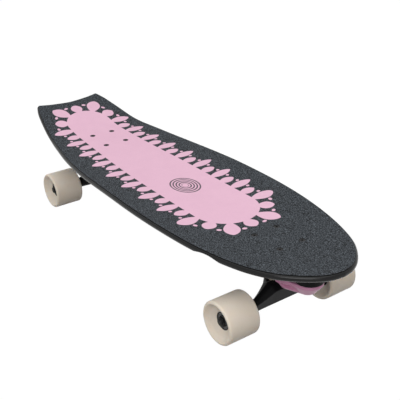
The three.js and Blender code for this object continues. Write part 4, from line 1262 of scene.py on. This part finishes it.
def lower_bushing():
    bore, foot = KINGPIN_RADIUS + FIT, LOWER_BUSHING - LOWER_BUSHING_HEIGHT
    return turned([
        (bore, foot), (LOWER_BUSHING_TIP, foot, 1.2),
        (BUSHING_RADIUS, LOWER_BUSHING - BUSHING_WAIST, 1.0), (BUSHING_RADIUS, LOWER_BUSHING, 0.6),
        (bore, LOWER_BUSHING),
    ])


def washer(outer, bore, low, thickness):
    high = low + thickness
    return turned([(bore, low, 0.2), (outer, low, 0.5), (outer, high, 0.5), (bore, high, 0.2)])


def pivot_cup():
    inner = PIVOT_TIP + SEAT
    outer, bottom = inner + CUP_WALL, inner + CUP_WALL / 2
    return turned([
        (0, bottom), (inner, bottom, 0.8), (outer, inner / 2, 0.8), (outer, -CUP_MOUTH, 0.5),
        (inner, -CUP_MOUTH, 0.5), (inner, inner, inner), (0, inner),
    ])


def bent_with_hanger(bushing, frame_of_pin, seat, ring):
    """Bakes the bushing's place into its mesh; the urethane is not bent, and the ends worked out from
    seat and ring are not used.
    """
    start, stop = [frame_of_pin @ Vector((0, 0, height)) * MM for height in (seat, ring)]
    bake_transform(bushing)


def build_kingpin_stack(end):
    frame_of_pin = AXLE[end] @ ON_KINGPIN
    nut = lock_nut(KINGPIN_NUT_FLATS, KINGPIN_NUT_HEIGHT, KINGPIN_RADIUS)
    settled(kingpin(end), frame_of_pin, f"{end}_kingpin")
    settled(at(nut, moved(z=KINGPIN_NUT), FLIP), frame_of_pin, f"{end}_kingpin_nut")
    bushings = (
        ("upper", upper_bushing(), UPPER_BUSHING + UPPER_BUSHING_HEIGHT, UPPER_BUSHING),
        ("lower", lower_bushing(), LOWER_BUSHING - LOWER_BUSHING_HEIGHT, LOWER_BUSHING),
    )
    for place, bushing, seat, ring in bushings:
        settled(bushing, frame_of_pin, f"{end}_bushing_{place}", bends=True)
        bent_with_hanger(bushing, frame_of_pin, seat, ring)
    for place, low in (("upper", UPPER_WASHER), ("lower", LOWER_WASHER - WASHER_HEIGHT)):
        cupped = washer(WASHER_RADIUS, KINGPIN_RADIUS + FIT, low, WASHER_HEIGHT)
        settled(cupped, frame_of_pin, f"{end}_washer_{place}")
    settled(pivot_cup(), AXLE[end] @ AT_CUP, f"{end}_pivot_cup")


def cup_hole(reach):
    inner = PIVOT_TIP + SEAT
    outer, bottom = inner + CUP_WALL + FIT, inner + CUP_WALL / 2 + SEAT
    return at(spun((inner, bottom), (outer, inner / 2 + SEAT), (outer, -reach)), AT_CUP)


def kingpin_holes(end):
    head = kingpin_head_at(end)
    return [
        on_pin(KINGPIN_RADIUS + FIT, RING_WEB, head + KINGPIN_HEAD_HEIGHT),
        on_pin(KINGPIN_HEAD + SEAT, head - SEAT, HEAD_TOP[end] + OVER),
    ]


def bolt_holes(low, high):
    radius = BOLT_RADIUS + BOLT_PLAY
    return [at(rod(radius, low, high, HOLE_FACETS), moved(x, y)) for x, y in bolt_places()]


# Front base


def base_wings(height):
    half, heel = BASE_HALF_WIDTH - BASE_CORNER / 2, BASE_HALF_LENGTH - BASE_CORNER
    front = arc(PIVOT_X, HOUSING_RADIUS + HOUSING_DRAFT, math.pi / 2 + BOSS_OVERLAP)
    return level([(heel, -half), *front, (heel, half)], height)


def base_rib(side):
    """A triangular rib from the spine to the flange's edge, midway between the bolts."""
    under = BASE_TOP - BASE_FLANGE
    inside, foot = under + BASE_FLANGE / 2, BASE_BOTTOM + HOUSING_FLOOR
    reach = BASE_HALF_WIDTH - BASE_CORNER / 2
    outline = [(0, inside), (reach, inside), (reach, under), (SPINE_HALF, foot), (0, foot)]
    rib = prism(outline, -BASE_RIB / 2, BASE_RIB / 2)
    return at(rib, Matrix.Rotation(side * math.pi / 2, 4, "Z"), about_x(math.pi / 2))


def build_front_base():
    under, end_x = BASE_TOP - BASE_FLANGE, -BASE_HALF_LENGTH + BASE_CORNER / 2
    inside = under + BASE_FLANGE / 2
    housing = spun((HOUSING_RADIUS, BASE_BOTTOM), (HOUSING_RADIUS + HOUSING_DRAFT, inside))
    spine = lofted(
        level(rectangle(end_x + SPINE_DRAFT, PIVOT_X, SPINE_HALF), BASE_BOTTOM),
        level(rectangle(end_x, PIVOT_X, SPINE_HALF + SPINE_DRAFT), inside),
    )
    body = prism(oblong(BASE_HALF_LENGTH, BASE_HALF_WIDTH, BASE_CORNER), under, BASE_TOP)
    wings = lofted(base_wings(under), base_wings(BASE_TOP))
    union(body, wings, at(housing, moved(PIVOT_X)), spine, base_rib(-1), base_rib(1))
    bores = [
        at(rod(HOUSING_RADIUS - HOUSING_WALL, BASE_BOTTOM + HOUSING_FLOOR, OVER), moved(PIVOT_X)),
        at(rod(PIN_RADIUS + FIT, BASE_BOTTOM - OVER, OVER), moved(PIVOT_X)),
        *bolt_holes(under - OVER, OVER),
    ]
    settled(cast(body, [], bores), PLATE["front"], "front_base")


# Swing arm


def arm_outline(boss_x, radius, heel_half, height_at):
    right = [(ARM_HEEL_OUT, -heel_half), (ARM_SHOULDER, -heel_half)]
    front = arc(boss_x, radius, math.pi / 2 - BOSS_OVERLAP)
    left = [(x, -y) for x, y in reversed(right)]
    return [(x, y, height_at(x)) for x, y in right + front + left]


def arm_block():
    foot_x = SWING_OUT - ARM_FOOT_SET
    rise = (ARM_FRONT_UP - ARM_HEEL_UP) / (foot_x - ARM_HEEL_OUT)

    def under(x):
        return min(ARM_FRONT_UP, ARM_HEEL_UP + rise * (x - ARM_HEEL_OUT))

    return lofted(
        arm_outline(foot_x, ARM_BOSS_FOOT, ARM_HEEL_HALF, under),
        arm_outline(SWING_OUT, ARM_BOSS, ARM_HALF, lambda x: ARM_TOP - ARM_PLATE / 2),
        arm_outline(SWING_OUT, ARM_BOSS, ARM_HALF, lambda x: ARM_TOP),
    )


def arm_plate():
    half, front, waist = ARM_TAIL_HALF, ARM_HEEL_OUT + ARM_PLATE, ARM_HEEL_OUT - ARM_PLATE
    outline = softened([
        (front, -ARM_HALF), (front, ARM_HALF), (ARM_HEEL_OUT, ARM_HALF, 3), (waist, half, 5),
        (ARM_TAIL_OUT, half, half / 2), (ARM_TAIL_OUT, -half, half / 2), (waist, -half, 5),
        (ARM_HEEL_OUT, -ARM_HALF, 3),
    ], True, 8)
    return prism(outline, ARM_TOP - ARM_PLATE, ARM_TOP)


def arm_pocket(side):
    """A cast pocket in a flank of the block, square to the flank."""
    up = (ARM_TOP - ARM_PLATE / 2 + ARM_HEEL_UP) / 2
    out, flank = (ARM_HEEL_OUT + SWING_OUT) / 2, (ARM_HALF + ARM_HEEL_HALF) / 2
    pocket = prism(oblong(ARM_HALF / 2, ARM_POCKET_HALF, ARM_POCKET_HALF / 2), -2 * ARM_POCKET, OVER)
    return at(pocket, moved(out, side * flank, up), about_x(-side * (math.pi / 2 + ARM_POCKET_LEAN)))


def build_swing_arm():
    body = union(arm_block(), arm_plate(), on_pin(KINGPIN_BOSS, KINGPIN_SEAT, KINGPIN_SEAT + ARM_PLATE))
    floor = ARM_TOP + RUN - 2 * SEAT - THRUST_HEIGHT
    bores = [
        at(rod(PIN_RADIUS + FIT, ARM_TOP - PIN_SEAT, ARM_TOP + OVER), moved(SWING_OUT)),
        at(rod(THRUST_RADIUS + SEAT, floor, ARM_TOP + OVER), moved(SWING_OUT)),
        cup_hole(2 * ARM_PLATE),
        *kingpin_holes("front"),
    ]
    settled(cast(body, [arm_pocket(-1), arm_pocket(1)], bores), AXLE["front"], "front_swing_arm")


# Swing pivot


def return_spring():
    """One wire wound by a rule, with a straight lead at each end."""
    rule = Rule("return_spring")
    wire = rule.input("Wire Diameter", "Float", SPRING_WIRE)
    radius = rule.input("Mean Radius", "Float", SPRING_RADIUS)
    turns = rule.input("Turns", "Float", SPRING_TURNS)
    gap = rule.input("Gap Between Turns", "Float", SPRING_GAP)
    points = rule.input("Points", "Int", SPRING_POINTS)
    index = rule.value(rule.out("GeometryNodeInputIndex"))
    wound = turns * radius * 2 * math.pi
    along = index / (points - 1.0) * (wound + wire * 2.0) - wire
    on_coil = along.most(0.0).least(wound)
    lead = along - on_coil
    angle = on_coil / radius
    place = rule.out("ShaderNodeCombineXYZ", {
        0: angle.cosine() * radius - angle.sine() * lead,
        1: angle.sine() * radius + angle.cosine() * lead,
        2: angle * (wire + gap) / (2 * math.pi) + wire / 2.0,
    })
    line = rule.out("GeometryNodeMeshLine", {"Count": points})
    bent = rule.out("GeometryNodeSetPosition", {"Geometry": line, "Position": place})
    path = rule.out("GeometryNodeMeshToCurve", {0: bent})
    inputs = {"Resolution": SPRING_FACETS, "Radius": wire / 2.0}
    section = rule.out("GeometryNodeCurvePrimitiveCircle", inputs)
    inputs = {"Curve": path, "Profile Curve": section, "Fill Caps": True}
    return rule.made(rule.out("GeometryNodeCurveToMesh", inputs), "steel")


def build_swing_pivot():
    foot, nut_foot = BASE_BOTTOM - RUN - PIN_SEAT + SEAT, -SEAT - OVER / 2 - PIVOT_NUT_HEIGHT
    top = nut_foot + PIVOT_NUT_HEIGHT + SEAT
    side = thread(PIN_RADIUS - HAIR, top - PIN_THREAD, top - PIN_TIP, PIN_PITCH)
    chamfer = [(PIN_RADIUS - PIN_CHAMFER, foot), (PIN_RADIUS, foot + PIN_CHAMFER)]
    shank = (PIN_RADIUS, top - PIN_THREAD - PIN_CHAMFER)
    settled(spun(*chamfer, shank, *side, (PIN_RADIUS - PIN_PITCH, top)), SWING, "front_pivot_pin")
    nut = lock_nut(PIVOT_NUT_FLATS, PIVOT_NUT_HEIGHT, PIN_RADIUS)
    settled(at(nut, moved(z=nut_foot)), SWING, "front_pivot_nut")
    thrust = washer(THRUST_RADIUS, PIN_RADIUS + FIT, BASE_BOTTOM - SEAT - THRUST_HEIGHT, THRUST_HEIGHT)
    settled(thrust, SWING, "front_thrust_washer")
    spring = at(return_spring(), moved(z=BASE_BOTTOM + HOUSING_FLOOR + SEAT))
    settled(spring, SWING, "front_return_spring")


# Rear truck


def build_riser():
    foot = -SEAT - RISER_HEIGHT
    body = prism(oblong(REAR_HALF_LENGTH, REAR_HALF_WIDTH, REAR_CORNER), foot, -SEAT)
    window = prism(oblong(WINDOW_LENGTH, WINDOW_WIDTH, REAR_CORNER / 2), foot - OVER, OVER)
    settled(cut(body, window, *bolt_holes(foot - OVER, OVER)), PLATE["rear"], "rear_riser")


def pivot_post(half, up):
    corners = [(0.5, -1), (1, -0.5), (1, 0.5), (0.5, 1), (-0.5, 1), (-1, 0.5), (-1, -0.5), (-0.5, -1)]
    return [(PIVOT_OUT + SEAT + x * half, y * half, up) for x, y in corners]


def build_rear_base():
    top, under = REAR_TRUCK_HEIGHT, REAR_TRUCK_HEIGHT - REAR_PLATE
    inside = under + REAR_PLATE / 2
    sunk = REAR_PEDESTAL * math.sin(KINGPIN_LEAN)
    pedestal_end = (inside - RING_UP - sunk) / math.cos(KINGPIN_LEAN)
    pedestal = spun((KINGPIN_BOSS, KINGPIN_SEAT), (REAR_PEDESTAL, pedestal_end))
    outline = [(x - REAR_AXLE_OUT, y) for x, y in oblong(REAR_HALF_LENGTH, REAR_HALF_WIDTH, REAR_CORNER)]
    web = prism(rectangle(RING_OUT, PIVOT_OUT, WEB_HALF), WEB_UP, inside)
    layers = ((POST_FOOT, POST_UP), (POST_HALF, inside), (POST_HALF, top))
    post = lofted(*[pivot_post(half, up) for half, up in layers])
    body = union(prism(outline, under, top), at(pedestal, ON_KINGPIN), post, web)
    holes = [at(hole, moved(-REAR_AXLE_OUT)) for hole in bolt_holes(under - OVER, top + OVER)]
    bores = [cup_hole(2 * POST_HALF), *kingpin_holes("rear"), *holes]
    settled(cast(body, [], bores), AXLE["rear"], "rear_baseplate")


# Wheels


def tyre_profile():
    """Half section of a tyre: radius, depth from its outer face, and its corner's round."""
    seat = BEARING_RADIUS + FIT
    outer_seat, outer_stop = WHEEL_RECESS - SEAT, WHEEL_RECESS + BEARING_WIDTH + SEAT
    inner_stop = outer_stop + BEARING_SPACING - 2 * SEAT
    inner_seat = inner_stop + BEARING_WIDTH + 2 * SEAT
    dish = [(CONE_RADIUS, 0.0, 2.0), (BOWL_RADIUS, BOWL_DEPTH, 9.0), (WHEEL_MOUTH, CONE_DEPTH, 1.0)]
    back = [(radius, WHEEL_WIDTH - depth, corner) for radius, depth, corner in reversed(dish)]
    return [
        *dish, (WHEEL_MOUTH, outer_seat, 0.1), (seat, outer_seat, 0.2), (seat, outer_stop, 0.2),
        (WHEEL_CORE, outer_stop, 0.3), (WHEEL_CORE, inner_stop, 0.3), (seat, inner_stop, 0.2),
        (seat, inner_seat, 0.2), *back, (WHEEL_RADIUS, WHEEL_WIDTH, WHEEL_EDGE),
        (WHEEL_RADIUS, 0.0, WHEEL_EDGE),
    ]


def tyre():
    """A tyre turned by a rule from its half section, whose corners the rule rounds."""
    profile = tyre_profile()
    mesh = bpy.data.meshes.new("section")
    loop = [(k, (k + 1) % len(profile)) for k in range(len(profile))]
    mesh.from_pydata([(radius, -depth, 0) for radius, depth, _ in profile], loop, [])
    rounds = mesh.attributes.new("round", "FLOAT", "POINT")
    rounds.data.foreach_set("value", [corner for _, _, corner in profile])
    rule = Rule("tyre")
    section = rule.input("Section", "Geometry")
    facets = rule.input("Facets", "Int", TYRE_FACETS)
    steps = rule.input("Corner Steps", "Int", TYRE_STEPS)
    edge = rule.input("Corner Scale", "Float", 1.0)
    stored = rule.out("GeometryNodeInputNamedAttribute", {"Name": "round"}, data_type="FLOAT")
    curve = rule.out("GeometryNodeMeshToCurve", {0: section})
    inputs = {"Curve": curve, "Count": steps, "Radius": rule.value(stored) * edge, "Limit Radius": True}
    soft = rule.out("GeometryNodeFilletCurve", inputs, mode="POLY")
    circle = rule.out("GeometryNodeCurvePrimitiveCircle", {"Resolution": facets, "Radius": NUDGE})
    skin = rule.out("GeometryNodeCurveToMesh", {"Curve": circle, "Profile Curve": soft})
    made = rule.made(skin, "urethane", linked("tyre", mesh))
    low, high = CONE_DEPTH + 0.2, WHEEL_WIDTH - CONE_DEPTH - 0.2
    # The band is the urethane inside the mouth round the bearings; the finish colours it near black.
    return marked(made, "band", lambda p: low < p.z < high and math.hypot(p.x, p.y) < WHEEL_MOUTH + LAP)


def bearing():
    """A bearing on its outer face at 0, with two races and a grooved shield between them."""
    bore = AXLE_RADIUS + FIT
    inner, outer = bore + RACE_WIDTH, BEARING_RADIUS - RACE_WIDTH
    shield = [(inner + into, deep) for into, deep in SHIELD_EDGE]
    shield += [((inner + outer) / 2 + off, deep) for off, deep in SHIELD_GROOVE]
    shield += [(outer - into, deep) for into, deep in reversed(SHIELD_EDGE)]
    profile = [
        (bore, 0, 0.3), (inner, 0, 0.15), *shield, (outer, 0, 0.15), (BEARING_RADIUS, 0, 0.5),
        (BEARING_RADIUS, BEARING_WIDTH, 0.5), (bore, BEARING_WIDTH, 0.3),
    ]
    return marked(turned(profile, BEARING_FACETS), "band", lambda p: True)


def build_wheel(name, end, side):
    axle = AXLE[end] @ moved(0, side * WHEEL_FACE_Y) @ about_x(side * math.pi / 2)
    settled(tyre(), axle, f"{name}_wheel")
    settled(bearing(), axle @ moved(z=WHEEL_RECESS), f"{name}_bearing_outer", look="bearing")
    inner = axle @ moved(z=WHEEL_FACE_Y - INNER_BEARING_Y) @ FLIP
    settled(bearing(), inner, f"{name}_bearing_inner", look="bearing")
    nut = lock_nut(AXLE_NUT_FLATS, AXLE_NUT_HEIGHT, AXLE_RADIUS)
    seat = axle @ moved(z=WHEEL_FACE_Y - AXLE_NUT_Y) @ FLIP
    settled(nut, seat, f"{name}_axle_nut", slot="dark_steel")


# Scene


def place_camera():
    """The camera stands where the photograph was taken from."""
    camera = linked("camera", bpy.data.cameras.new("camera"))
    ahead, up = Vector(CAMERA_AHEAD).normalized(), Vector(CAMERA_UP)
    right = ahead.cross(up).normalized()
    turn = Matrix((right, right.cross(ahead), -ahead)).transposed()
    camera.matrix_world = Matrix.Translation(CAMERA_PLACE) @ turn.to_4x4()
    camera.data.sensor_width = CAMERA_SENSOR
    camera.data.lens = CAMERA_LENS
    bpy.context.scene.camera = camera


def pale_floor():
    """A white floor that keeps a soft shadow; the camera sees most of it as plain white."""
    look = Look("pale_floor")
    rays = look.add("ShaderNodeLightPath").outputs
    seen = look.value(rays["Is Camera Ray"])
    reflected = look.value(rays["Is Glossy Ray"]) + look.value(rays["Is Transmission Ray"])
    paper = look.noise(40.0)
    body = look.out("ShaderNodeBsdfDiffuse", {"Color": FLOOR_COLOUR, "Roughness": 1.0})
    glow = look.out("ShaderNodeEmission", {"Color": WHITE, "Strength": FLOOR_GLOW})
    share = (seen * 0.95 + reflected).least(1.0) + paper * 0.0001
    mixed = look.out("ShaderNodeMixShader", {0: share, 1: body, 2: glow})
    look.add("ShaderNodeOutputMaterial", None, {"Surface": mixed})
    mesh = bpy.data.meshes.new("floor")
    mesh.from_pydata(level(rectangle(-FLOOR_HALF, FLOOR_HALF, FLOOR_HALF), 0), [], [(0, 1, 2, 3)])
    mesh.materials.append(look.material)
    linked("floor", mesh)


def white_world():
    world = bpy.data.worlds.new("studio")
    bpy.context.scene.world = world
    world.use_nodes = True
    world.node_tree.nodes.clear()
    sky = Tree(world.node_tree)
    rays = sky.add("ShaderNodeLightPath").outputs
    seen = sky.value(rays["Is Camera Ray"]) + sky.value(rays["Is Glossy Ray"])
    seen = (seen + sky.value(rays["Is Transmission Ray"])).least(1.0)
    strength = seen * (1.0 - SKY_STRENGTH) + SKY_STRENGTH
    light = sky.out("ShaderNodeBackground", {"Color": WHITE, "Strength": strength})
    sky.add("ShaderNodeOutputWorld", None, {"Surface": light})


def soft_lamp(name, place, aim, size, watts):
    data = bpy.data.lights.new(name, "AREA")
    data.shape = "RECTANGLE"
    data.size, data.size_y = size
    data.energy = watts
    lamp = linked(name, data)
    lamp.location = place
    lamp.rotation_mode = "QUATERNION"
    lamp.rotation_quaternion = (Vector(aim) - Vector(place)).to_track_quat("-Z", "Y")


build_deck()
build_front_base()
build_swing_arm()
build_swing_pivot()
build_riser()
build_rear_base()
for seed, end in enumerate(ENDS):
    build_deck_bolts(end, 10 * seed + 3)
    build_hanger(end)
    build_axle(end)
    build_kingpin_stack(end)
for name, (end, side) in WHEELS.items():
    build_wheel(name, end, side)
place_camera()
pale_floor()
white_world()
for lamp in LAMPS:
    soft_lamp(*lamp)

bpy.context.scene.view_settings.view_transform = "Standard"
